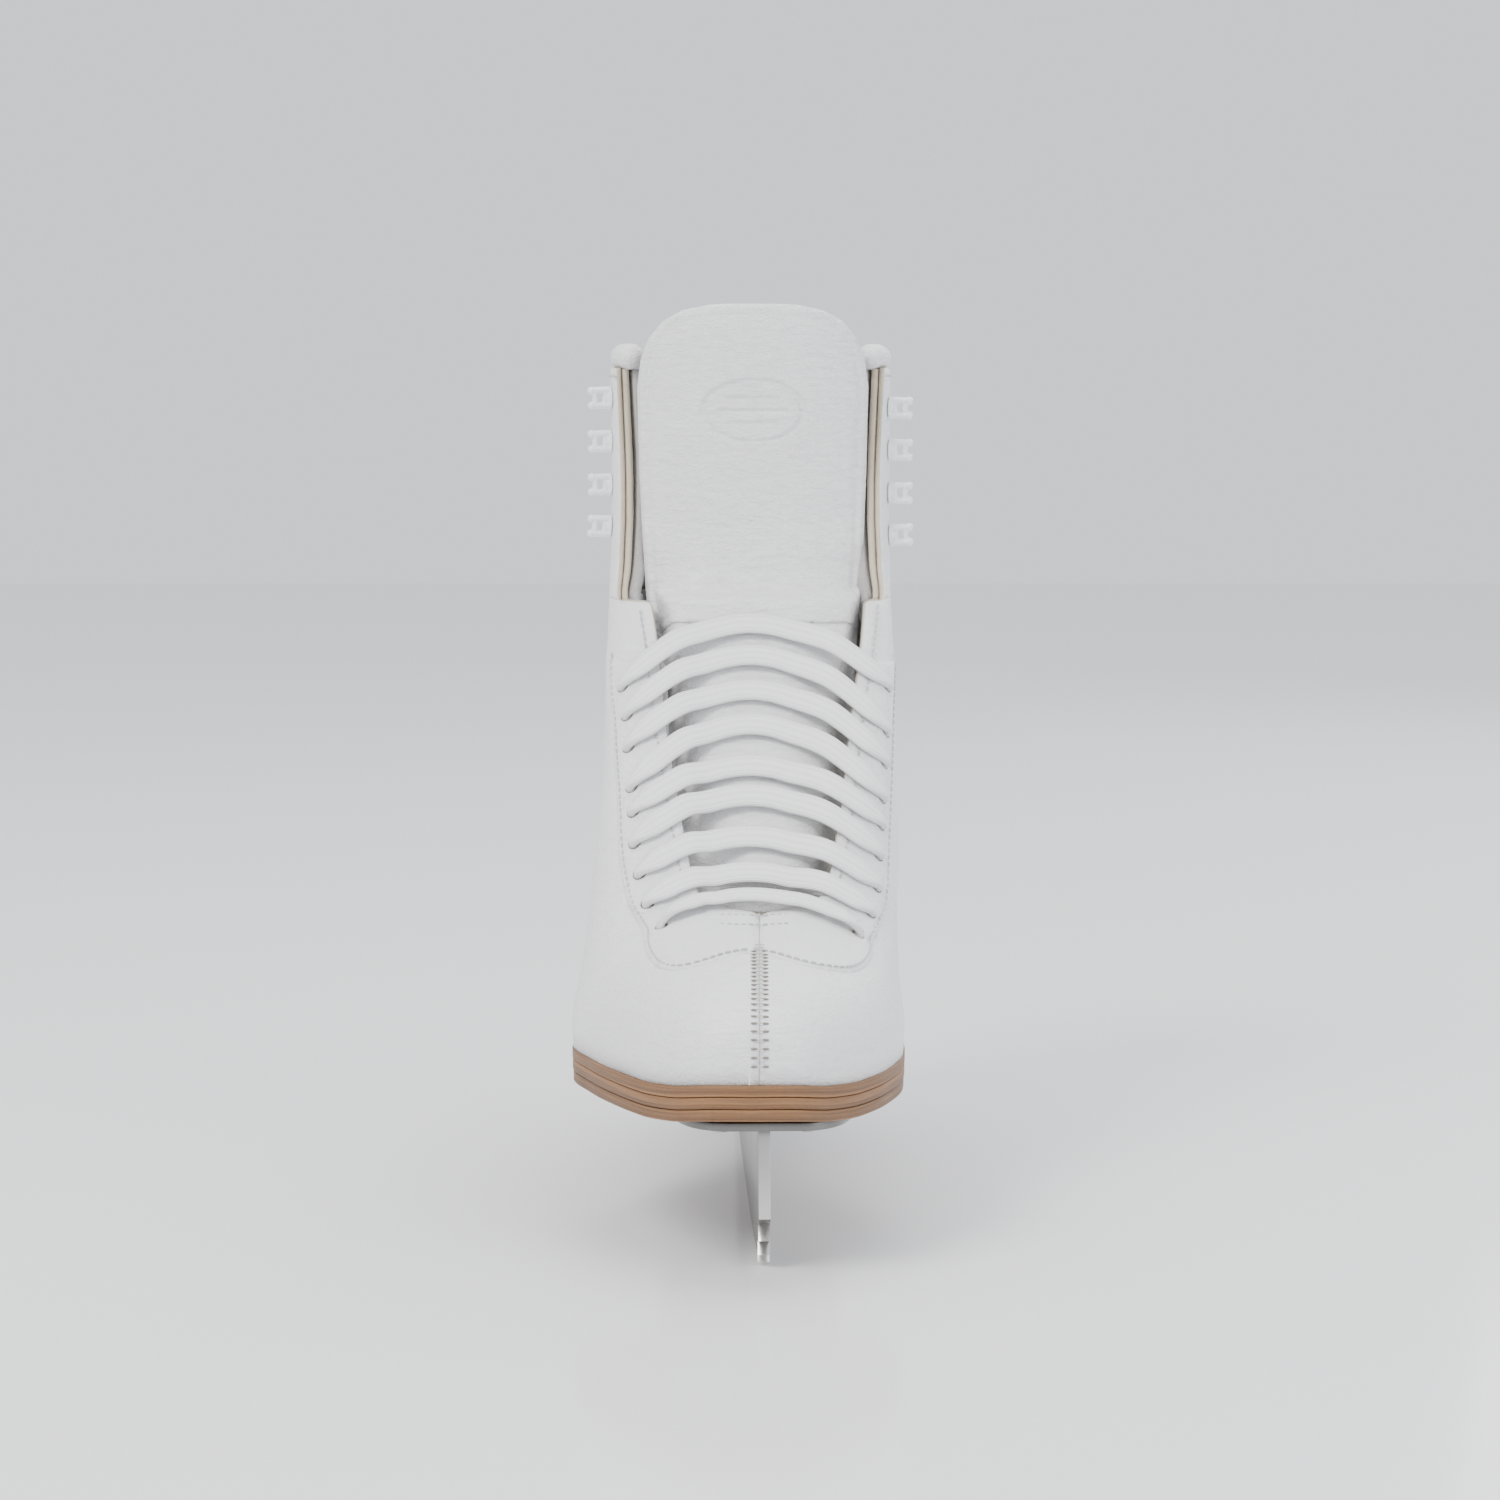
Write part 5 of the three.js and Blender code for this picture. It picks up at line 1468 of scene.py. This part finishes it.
# faces towards the camera take the bright steel as a painted highlight; the bottom facets take it as the
# running edge
for face in bladePiece.data.polygons:
    low = face.center.z < 6 and face.normal.z < -0.4
    front = face.normal.y < -0.5 and abs(face.normal.x) < 0.75
    if low or front:
        face.material_index = 1
bladePiece.data.transform(unitTurn)
finishPiece(bladePiece, "boot", "blade_steel", "blade")

screwSpots = {
    "sole": [(-13.5, 27), (13.5, 27), (-20.5, 56), (20.5, 56), (-8.5, 96), (8.5, 96)],
    "heel": [(-15, 211), (15, 211), (-15, 255), (15, 255)],
}
screwShape = {"shank": 1.9, "head": 3.8, "hole": 2.3, "cross": 0.85, "deep": 1.3}
plateOutlines = {
    "sole": outlineOf((-12, local(16)), [
        [(12, local(16))], [(24, local(17)), (29, local(32)), (29, local(50))],
        [(29, local(72)), (15, local(80)), (14, local(98))], [(13, local(107)), (4, local(108))],
        [(-4, local(108))], [(-13, local(107)), (-14, local(98))],
        [(-15, local(80)), (-29, local(72)), (-29, local(50))],
        [(-29, local(32)), (-24, local(17)), (-12, local(16))],
    ])[:-1],
    "heel": outlineOf((-14, local(200)), [
        [(14, local(200))], [(22, local(202)), (23, local(214))], [(23, local(248))],
        [(22, local(262)), (12, local(270)), (0, local(270))],
        [(-12, local(270)), (-22, local(262)), (-23, local(248))], [(-23, local(214))],
        [(-22, local(202)), (-14, local(200))],
    ])[:-1],
}


def ringAt(x, y, radius, count=28):
    angles = np.arange(count) * 2 * math.pi / count
    return [(x + radius * math.cos(a), y + radius * math.sin(a)) for a in angles]


for part, plate in (("sole", solePlate), ("heel", heelPlate)):
    holes = [ringAt(x, local(back), screwShape["hole"]) for x, back in screwSpots[part]]
    platePiece = extrudedPiece(
        part + "Plate", plateOutlines[part], holes,
        lambda u, v, w, plate=plate: (u, v, plate["bottom"] + w), plate["thickness"], 0.4, "plate",
    )
    platePiece.data.transform(unitTurn)
    finishPiece(platePiece, "boot", "plate_steel", part + "_plate")


def screwMaster(plate, reach):
    seat = plate["bottom"]
    head = screwShape["head"]
    shank = screwShape["shank"]
    profile = [
        (0.0, -2.2), (head * 0.45, -2.1), (head * 0.75, -1.75), (head * 0.93, -1.2), (head, -0.55),
        (head, -0.1), (head - 0.15, 0.0), (shank, 0.0), (shank, reach - seat - 2), (0.0, reach - seat),
    ]
    bm = bmesh.new()
    spots = [bm.verts.new((r, 0, seat + z)) for r, z in profile]
    edges = [bm.edges.new(pair) for pair in zip(spots, spots[1:])]
    bmesh.ops.spin(
        bm, geom=spots + edges, cent=(0, 0, 0), axis=(0, 0, 1), angle=2 * math.pi, steps=32, use_merge=True,
    )
    bmesh.ops.remove_doubles(bm, verts=bm.verts, dist=1e-4)
    bmesh.ops.recalc_face_normals(bm, faces=bm.faces)
    piece = meshPiece("screwMaster", bm, "screw")
    faceOutwards(piece)
    for turn in (0.0, math.pi / 2):
        deselect()
        bpy.ops.mesh.primitive_cube_add(size=1)
        slot = bpy.context.object
        slot.data.transform(
            Matrix.Translation((0, 0, seat - 2.3 + screwShape["deep"] / 2)) @ Matrix.Rotation(turn, 4, "Z")
            @ Matrix.Diagonal((4.4, screwShape["cross"], screwShape["deep"], 1)))
        deselect()
        bpy.context.view_layer.objects.active = piece
        piece.select_set(True)
        cut = piece.modifiers.new("cut", "BOOLEAN")
        cut.object = slot
        cut.solver = "EXACT"
        bpy.ops.object.modifier_apply(modifier="cut")
        bpy.data.objects.remove(slot)
    bpy.ops.object.shade_smooth_by_angle(angle=math.radians(32))
    return piece


for part, plate, reach in (("sole", solePlate, 54.5), ("heel", heelPlate, 70.0)):
    master = screwMaster(plate, reach)
    for i, (x, back) in enumerate(screwSpots[part]):
        screwPiece = bpy.data.objects.new(part + "Screw_" + str(i + 1), master.data.copy())
        bpy.context.collection.objects.link(screwPiece)
        place = Matrix.Translation((x, local(back), 0)) @ Matrix.Rotation(0.4 + i * 1.1, 4, "Z")
        screwPiece.data.transform(unitTurn @ place)
        finishPiece(screwPiece, "boot", "screw_steel", part + "_screw_" + str(i + 1))
    bpy.data.objects.remove(master)
print("blade, plates and screws ready")


# Padded roll along the top line
rollSettings = {"radius": 4.35, "height": 3.9, "depth": 4.0, "around": 20, "fill": 0.85, "pucker": 0.22}
rollSkin = Skin(rollSettings["depth"])


def rollPoint(side, back):
    point = rollSkin.place(side, back, boot["shaftTop"] - 8)
    point[2] = float(topLine(back)) + rollSettings["height"]
    return point


def tubeAlong(name, path, radius, slotName, pucker):
    # a soft tube with rounded ends, gathered a little along its length
    path = alongPath(path, 0.7)
    ways = np.gradient(path, axis=0)
    travel = np.arange(len(path)) * 0.7
    total = travel[-1]
    angles = np.arange(rollSettings["around"]) * 2 * math.pi / rollSettings["around"]
    rings = []
    for place, way, at in zip(path, ways, travel):
        way = unit(way)
        side = unit(np.cross(way, (0, 0, 1)))
        up = np.cross(side, way)
        end = min(at, total - at)
        share = math.sqrt(max(1 - (1 - min(end / radius, 1)) ** 2, 0.004))
        ring = []
        for angle in angles:
            direction = side * math.cos(angle) + up * math.sin(angle)
            spot = place + direction * radius
            fold = noiseAt(spot * np.array([1, 1, 0.5]), 3.4) * pucker + noiseAt(spot, 11.0) * pucker * 1.2
            ring.append(place + direction * (radius * share + fold * share))
        rings.append(ring)
    return loftMesh(name, rings, [slotName])


hingeTop = {
    side: hinge["back"] + (float(topLine(227)) + 4 - hingeHeight[side]) / hinge["slope"] for side in sides
}
for side in sides:
    rear = hingeTop[side] - 0.4
    path = smoothPath([rollPoint(side, back) for back in (187.6, 196, 206, 216, rear)], 10)
    roll = tubeAlong("collarRoll_flap_" + side, path, rollSettings["radius"], "trim", rollSettings["pucker"])
    finishPiece(roll, side + "_flap", "white_leather", "collar_flap_" + side)


def rearHalf(side):
    start = hingeTop[side] + 0.4
    return [rollPoint(side, start + (264.6 - start) * part) for part in (0, 0.18, 0.36, 0.54, 0.72, 0.88, 1)]


middleSpot = rollPoint("medial", 266)
middleSpot[0] = boot["centreX"]
backPath = smoothPath(rearHalf("lateral") + [middleSpot] + rearHalf("medial")[::-1], 10)
backRoll = tubeAlong("collarRoll_back", backPath, rollSettings["radius"], "trim", rollSettings["pucker"])
finishPiece(backRoll, "boot", "white_leather", "collar_back")
print("collar ready")


# Backstay
backstay = {"half": 13.0, "foot": 104, "top": 262, "thickness": 1.1}


def addBackstay():
    bm = skinMesh(Skin(-0.3), 150, 300, 20, 218)

    def field(spots):
        width = backstay["half"] - np.abs(spots[:, 0] - boot["centreX"])
        height = np.minimum(spots[:, 2] - backstay["foot"], backstay["top"] - spots[:, 2])
        return np.minimum.reduce([width, height, backOf(spots) - 205])

    trim(bm, field)
    keepLargest(bm)
    bm.normal_update()
    spots = points(bm)
    edge = field(spots)
    pressed = 0.3 * np.exp(-(((edge - 2.0) / 0.7) ** 2))
    outer = backstay["thickness"] - 0.8 * (1 - ease(edge)) - pressed
    wall(bm, outer, np.full(len(spots), 0.0))
    piece = meshPiece("backstay_strip", bm, "leather", "rawEdge")
    finishPiece(piece, "boot", "white_leather", "backstay")


addBackstay()


# Tongue
tongueSettings = {
    "depth": 8.4, "felt": 5.9, "fill": 0.5, "hinge": 200.0,
    "crown": 3.2, "rear": 189.0, "wide": 0.3, "flat": 0.42,
    "bendFrom": 0.189, "bendTo": 0.213,  # the heights in metres that it bends between
}
tongueOutline = [
    (-24, 101), (31, 101), (34, 140), (36, 170), (39, 200), (40.5, 240), (41, 270), (39.5, 280), (36.5, 287),
    (31.5, 292.5), (25, 296), (16, 297.8), (1, 298.6), (-14, 297.8), (-23, 296), (-29.5, 292.5), (-34.5, 287),
    (-37.5, 280), (-39, 270), (-38.5, 240), (-36.5, 200), (-33, 170), (-30, 140),
]
tongueSkin = Skin(lambda level: paddingThickness(level) + tongueSettings["depth"])


def crownRaise(spots, deep):
    inside = fromFront(throatOutline(-1.6), spots)
    share = ease((inside + 1) / 8) * (1 - ease((spots[:, 2] - 192) / 34))
    return (deep - tongueSettings["crown"]) * share


def bendForward(spots):
    rise = np.clip((spots[:, 2] - 206) / 92, 0, 1)
    spots = spots.copy()
    spots[:, 1] -= 15 * rise**1.4
    return spots


def addTongue():
    base = skinMesh(tongueSkin, 190, 330, 42, 240.5, power=1.25)
    spots = points(base)
    share = ease((spots[:, 2] - 183) / 40)
    spots[:, 0] = boot["centreX"] + (spots[:, 0] - boot["centreX"]) * (1 + tongueSettings["wide"] * share)
    front = tongueSkin.frontAt(levelOf(spots)) + boot["toeY"]
    spots[:, 1] = front + (spots[:, 1] - front) * (1 - tongueSettings["flat"] * share)
    for vertex, co in zip(base.verts, spots):
        vertex.co = co
    trim(base, lambda spots: fromFront(tongueOutline, spots))
    trim(base, lambda spots: tongueSettings["rear"] - backOf(spots))
    keepLargest(base)
    # a finer mesh where the mark is pressed in
    markX, markZ = boot["centreX"] + emblem["centre"][0], emblem["centre"][1]
    halfWide, halfTall = (half + emblem["margin"] for half in emblem["half"])
    near = [
        e for e in base.edges
        if all(abs(v.co.x - markX) < halfWide and abs(v.co.z - markZ) < halfTall for v in e.verts)
    ]
    bmesh.ops.subdivide_edges(base, edges=near, cuts=2, use_grid_fill=True)
    base.normal_update()
    for part in ("lower", "upper"):
        for layer in ("cover", "felt"):
            bm = base.copy()
            if part == "lower":
                trim(bm, lambda spots: tongueSettings["hinge"] + 6 - spots[:, 2])
            else:
                trim(bm, lambda spots: spots[:, 2] - (tongueSettings["hinge"] - 13))
            keepLargest(bm)
            bm.normal_update()
            spots = points(bm)
            deep = paddingThickness(levelOf(spots)) + tongueSettings["depth"]
            raised = crownRaise(spots, deep)
            edge = fromFront(tongueOutline, spots)
            edge = np.minimum(edge, tongueSettings["rear"] - backOf(spots))
            ripple = np.array([noiseAt(v.co, 17.0) * 0.5 + noiseAt(v.co, 6.0) * 0.12 for v in bm.verts])
            under = -0.9 if part == "lower" else 0.0
            lip = 0.9 * (1 - ease(edge / 1.8)) if part == "upper" else 0 * edge
            seam = 0.55 * np.exp(-(((edge - 3.6) / 0.9) ** 2)) * (part == "upper")
            if layer == "cover":
                hem = 0.0
                if part == "upper":
                    hemEdge = spots[:, 2] - (tongueSettings["hinge"] - 13)
                    hem = 0.5 * (1 - ease(hemEdge / 0.9)) + 0.35 * np.exp(-(((hemEdge - 2.4) / 0.7) ** 2))
                outer = raised + under + ripple * ease(edge / 6) - lip - seam - hem
                outer -= emblemDepth(spots) if part == "upper" else 0
                inner = raised * (1 if part == "upper" else 0.9) + under - (0.85 if part == "upper" else 2.0)
                inner = np.minimum(inner, outer - 0.4)
            else:
                rough = np.array([noiseAt(v.co, 2.4) * 0.25 + noiseAt(v.co, 13.0) * 0.35 for v in bm.verts])
                outer = raised + under - (0.95 if part == "upper" else 2.1)
                inner = -tongueSettings["felt"] + rough + 1.5 * (1 - ease(edge / 2.5))
                inner = np.minimum(inner, outer - 0.5)
            wall(bm, outer, inner, rim=1)
            for vertex, co in zip(bm.verts, bendForward(points(bm))):
                vertex.co = co
            look = "trim" if layer == "cover" else "felt"
            piece = meshPiece("tongue" + part.capitalize() + "_" + layer, bm, look, look)
            node = "tongue_" + part + ("" if layer == "cover" else "_felt")
            slotName = "white_leather" if layer == "cover" else "felt"
            finishPiece(piece, "boot" if part == "lower" else None, slotName, node)
            if part == "upper":
                x, y = boot["centreX"] * mm, (boot["toeY"] + 163) * mm
                start, end = (x, y, tongueSettings["bendFrom"]), (x, y, tongueSettings["bendTo"])
                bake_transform(piece, "boot", "tongue", start=start, end=end)
    base.free()


emblem = {
    "centre": (1.0, 262.0), "half": (17.0, 10.5), "ring": 1.4, "depth": 0.55, "margin": 4.0,
    "bars": [(-4.2, 8.5), (0.0, 11.5), (4.2, 8.5)],  # height from the centre, half length
}


def emblemDepth(spots):
    # a plain oval ring with three level bars, pressed into the leather
    x = spots[:, 0] - boot["centreX"] - emblem["centre"][0]
    z = spots[:, 2] - emblem["centre"][1]
    a, b = emblem["half"]
    size = np.hypot(x / a, z / b)
    away = np.abs(size - 1) * (a + b) / 2
    mark = 1 - ease((away - emblem["ring"] * 0.4) / 0.5)
    for level, half in emblem["bars"]:
        gap = np.maximum(np.abs(z - level) - 0.45, np.abs(x) - half)
        mark = np.maximum(mark, 1 - ease(gap / 0.45))
    return emblem["depth"] * mark


addTongue()
print("tongue ready")


# Lace tips
tip = {"radius": 1.75, "length": 20.0, "gap": 0.3}
for side in sides:
    before, end = tailPoints(side)[-2:]
    way = unit(end - before)
    path = [end + way * (tip["gap"] + tip["length"] * t) for t in np.linspace(0, 1, 24)]
    acrossWay = unit(np.cross(way, (1, 0, 0)))
    rings = []
    for k, spot in enumerate(path):
        t = k / 23
        r = tip["radius"] * (1 - 0.22 * t) * math.sqrt(max(1 - (abs(2 * t - 1)) ** 14, 0.02))
        angles = np.arange(14) * 2 * math.pi / 14
        other = np.cross(way, acrossWay)
        rings.append([spot + (acrossWay * math.cos(a) + other * math.sin(a)) * r for a in angles])
    tipPiece = loftMesh("laceTip_" + side, rings, ["tip"])
    finishPiece(tipPiece, "boot", "plastic_tip", "aglet_" + side)


# Hooks: two arms with rounded ends, joined by two short bars, on a small flange
hookSettings = {
    "reach": 8.6, "spacing": 5.1, "arm": 1.15, "end": 1.5, "bar": 1.0, "bars": (2.4, 5.9), "voxel": 0.2,
    "flange": (0.5, 3.1, 3.6), "width": 1.5,
}
hookHeights = {"lateral": [266, 251, 236, 221.5], "medial": [262.5, 248, 233, 218.5]}


def addBall(size, place, scale=(1, 1, 1)):
    deselect()
    bpy.ops.mesh.primitive_uv_sphere_add(segments=24, ring_count=14, radius=size)
    ball = bpy.context.object
    ball.data.transform(Matrix.Translation(place) @ Matrix.Diagonal((*scale, 1)))
    return ball


def addRod(start, end, radius, endRadius, wide=1.0):
    deselect()
    way = Vector(end) - Vector(start)
    bpy.ops.mesh.primitive_cone_add(vertices=24, radius1=radius, radius2=endRadius, depth=way.length)
    rod = bpy.context.object
    turn = way.to_track_quat("Z", "X").to_matrix().to_4x4()
    rod.data.transform(turn)
    rod.data.transform(Matrix.Translation((Vector(start) + Vector(end)) / 2))
    rod.data.transform(Matrix.Diagonal((1, 1, wide, 1)))
    return rod


def makeHook():
    # local X is out of the leather, Y up, Z along it
    s = hookSettings
    half = s["spacing"] / 2
    parts = []
    for sign in (-1, 1):
        y = sign * half
        end = (s["reach"] - s["end"], y, 0)
        parts.append(addRod((0.3, y * 1.05, 0), end, s["arm"] * 1.1, s["arm"], s["width"]))
        parts.append(addBall(s["end"], end, (1, 0.95, 1.35)))
    for x in s["bars"]:
        parts.append(addRod((x, -half, 0), (x, half, 0), s["bar"], s["bar"], 1.5))
    thick, wide, tall = s["flange"]
    parts.append(addBall(1.0, (0.55, 0, 0), (0.75, tall * 1.05, wide)))
    parts.append(addRod((0.4, 0, 0), (2.6, 0, 0), 3.0, 1.4, 0.9))
    deselect()
    for part in parts:
        part.select_set(True)
    bpy.context.view_layer.objects.active = parts[0]
    bpy.ops.object.join()
    hook = bpy.context.object
    for kind, options in (
        ("REMESH", {"mode": "VOXEL", "voxel_size": s["voxel"]}),
        ("SMOOTH", {"factor": 0.5, "iterations": 7}),
        ("DECIMATE", {"ratio": 0.35}),
    ):
        modifier = hook.modifiers.new(kind.lower(), kind)
        for key, value in options.items():
            setattr(modifier, key, value)
        bpy.ops.object.modifier_apply(modifier=kind.lower())
    hook.data.materials.clear()
    hook.data.materials.append(materials["enamel"])
    hook.data.shade_smooth()
    return hook


hookMaster = makeHook()
hookLift = float(soleLift(hinge["back"]))
for side in sides:
    for i, height in enumerate(hookHeights[side]):
        level = (height - boot["soleTop"] - hookLift) / (1 - hookLift / boot["shaftTop"])
        normal = normalAt(side, hinge["back"], level)
        spot = leatherSkin.place(side, hinge["back"], level)
        up = unit(np.array([0, 0, 1.0]) - normal * normal[2])
        along = np.cross(normal, up)
        frameTurn = Matrix([[normal[k], up[k], along[k], spot[k]] for k in range(3)] + [[0, 0, 0, 1]])
        hookPiece = bpy.data.objects.new("laceHook_" + side + "_" + str(i + 1), hookMaster.data.copy())
        bpy.context.collection.objects.link(hookPiece)
        hookPiece.data.transform(frameTurn)
        body = side + "_flap" if i < 3 else "boot"
        finishPiece(hookPiece, body, "white_enamel", "hook_" + side + "_" + str(i + 1))
bpy.data.objects.remove(hookMaster)
print("hooks ready")


# Stitching
def shiftedLine(side, inward):
    # a line beside the strip's edge, moved towards the throat
    path = eyestayLines[side]
    ways = np.gradient(path, axis=0)
    out = []
    for spot, way in zip(path, ways):
        _, normal = onLeather(spot)
        aside = unit(np.cross(normal, way)) * (1 if side == "lateral" else -1)
        out.append(spot + aside * inward)
    return np.array(out)


def throatRow(side, away):
    line = throatLateral if side == "lateral" else throatMedial
    out = []
    for (xa, za), (xb, zb) in zip(line, line[1:]):
        for t in np.linspace(0, 1, 12, endpoint=False):
            x, z = xa + (xb - xa) * t, za + (zb - za) * t
            x += away * sides[side]
            level = z - boot["soleTop"]
            for _ in range(3):
                back = leatherSkin.backAt(side, abs(x), level)
                lift = float(soleLift(back))
                level = (z - boot["soleTop"] - lift) / (1 - lift / boot["shaftTop"])
            if z < 196:
                out.append(leatherSkin.place(side, back, level))
    return np.array(out)


def frontRow(offsets, z):
    out = []
    for x in offsets:
        out.append(overFront(x, z - boot["soleTop"], 0))
    return np.array(out)


stitch = {"pitch": 2.7, "length": 2.25, "radius": 0.36}
collarStitch = {"drop": 2.6, "pitch": 3.0, "length": 2.4}  # drop: below the top line
rows = []
for side in sides:
    rows.append((shiftedLine(side, 1.9), 0.75, *stitch.values()))
    rows.append((throatRow(side, 3.4), 0.8, *stitch.values()))
for z in (102.6, 100.9):
    line = frontRow(np.linspace(-8.8, 12.2, 30), z)
    rows.append((line, 0.75, 2.3, 1.9, stitch["radius"]))
finishPiece(stitchPiece("stitches_eyestay", rows), "boot", "lace_fabric")


def ladderStitches():
    # short stitches across the toe's seam, with a dark disc of painted shadow standing in for the needle hole
    # at each end
    path = []
    for level in np.linspace(6, 39.0, 160):
        back = leatherSkin.backAt("medial", seamX, level)
        path.append(leatherSkin.place("medial", back, level))
    spots = alongPath(path, 2.7)
    verts, faces = [], []
    normals = [onLeather(spot)[1] for spot in spots]
    sideways = [np.array([1.0, 0, 0])] * len(spots)
    raised = [spot + normal * 0.35 for spot, normal in zip(spots, normals)]
    stitchGroup(verts, faces, raised, normals, sideways, 2.2, 0.3, 0.3)
    finishPiece(facesPiece("stitches_toe", verts, faces, "thread"), "boot", "lace_fabric")
    verts, faces = [], []
    # each needle hole is a small dark disc of painted shadow, set over the leather
    for spot, normal in zip(spots, normals):
        for x in (-1.75, 1.75):
            place, turned = onLeather(spot + np.array([x, 0, 0]))
            first = len(verts)
            aside = unit(np.cross(turned, (1, 0, 0)))
            other = np.cross(aside, turned)
            for k in range(8):
                a = k * math.pi / 4
                verts.append(place + aside * math.cos(a) * 0.42 + other * math.sin(a) * 1.1 + turned * 0.3)
            verts.append(place + turned * 0.55)
            verts.append(place - turned * 0.3)
            for k in range(8):
                faces.append((first + k, first + (k + 1) % 8, first + 8))
                faces.append((first + (k + 1) % 8, first + k, first + 9))
    finishPiece(facesPiece("paintedHoleShadows_toe", verts, faces, "paintedHoleShadow"), "boot", "lace_fabric")


ladderStitches()

backstayRows = []
for x in (-10.8, 10.8):
    side = "lateral" if x < 0 else "medial"
    line = []
    for level in np.linspace(22, 196, 140):
        low, high = 205.0, float(heelBack(level)) - 0.2
        for _ in range(26):
            middle = (low + high) / 2
            if leatherSkin.halfWidth(side, middle, level) > abs(x):
                low = middle
            else:
                high = middle
        line.append(leatherSkin.place(side, low, level))
    backstayRows.append((line, 1.3, *stitch.values()))
finishPiece(stitchPiece("stitches_backstay", backstayRows), "boot", "lace_fabric")


def collarRow(name, side, body, first, last, count):
    # one row under the top line, over the hidden seam of the padded roll
    line = []
    for back in np.linspace(first, last, count):
        spot = leatherSkin.place(side, back, 210)
        line.append((spot[0], spot[1], float(topLine(back)) - collarStitch["drop"]))
    row = (line, 0.1, collarStitch["pitch"], collarStitch["length"], stitch["radius"])
    finishPiece(stitchPiece(name + side, [row]), body, "lace_fabric")


for side in sides:
    collarRow("stitches_collar_", side, side + "_flap", 188.5, hingeTop[side] - 3, 30)
    collarRow("stitches_collarRear_", side, "boot", hingeTop[side] + 5, 264, 60)
print("stitches ready")


# Pieces kept from the part, with their materials
keptFinish = {
    "insole_board": "board", "shank": "plate", "toe_puff": "board", "heel_counter": "board",
}
for nodeName, finishName in keptFinish.items():
    kept = bpy.data.objects[nodeName]
    kept.data.materials.clear()
    kept.data.materials.append(materials[finishName])

# Floor
floorSettings = {"size": 6.0, "low": (0.8, 0.805, 0.81), "high": (0.84, 0.845, 0.85)}
deselect()
bpy.ops.mesh.primitive_plane_add(size=floorSettings["size"])
floor = bpy.context.object
floor.name = "floor"
floorLook = paintMaterial("paleFloor", floorSettings["low"], floorSettings["high"], (0.5, 0.6), 0.00002)
floor.data.materials.append(floorLook)
print("floor ready")
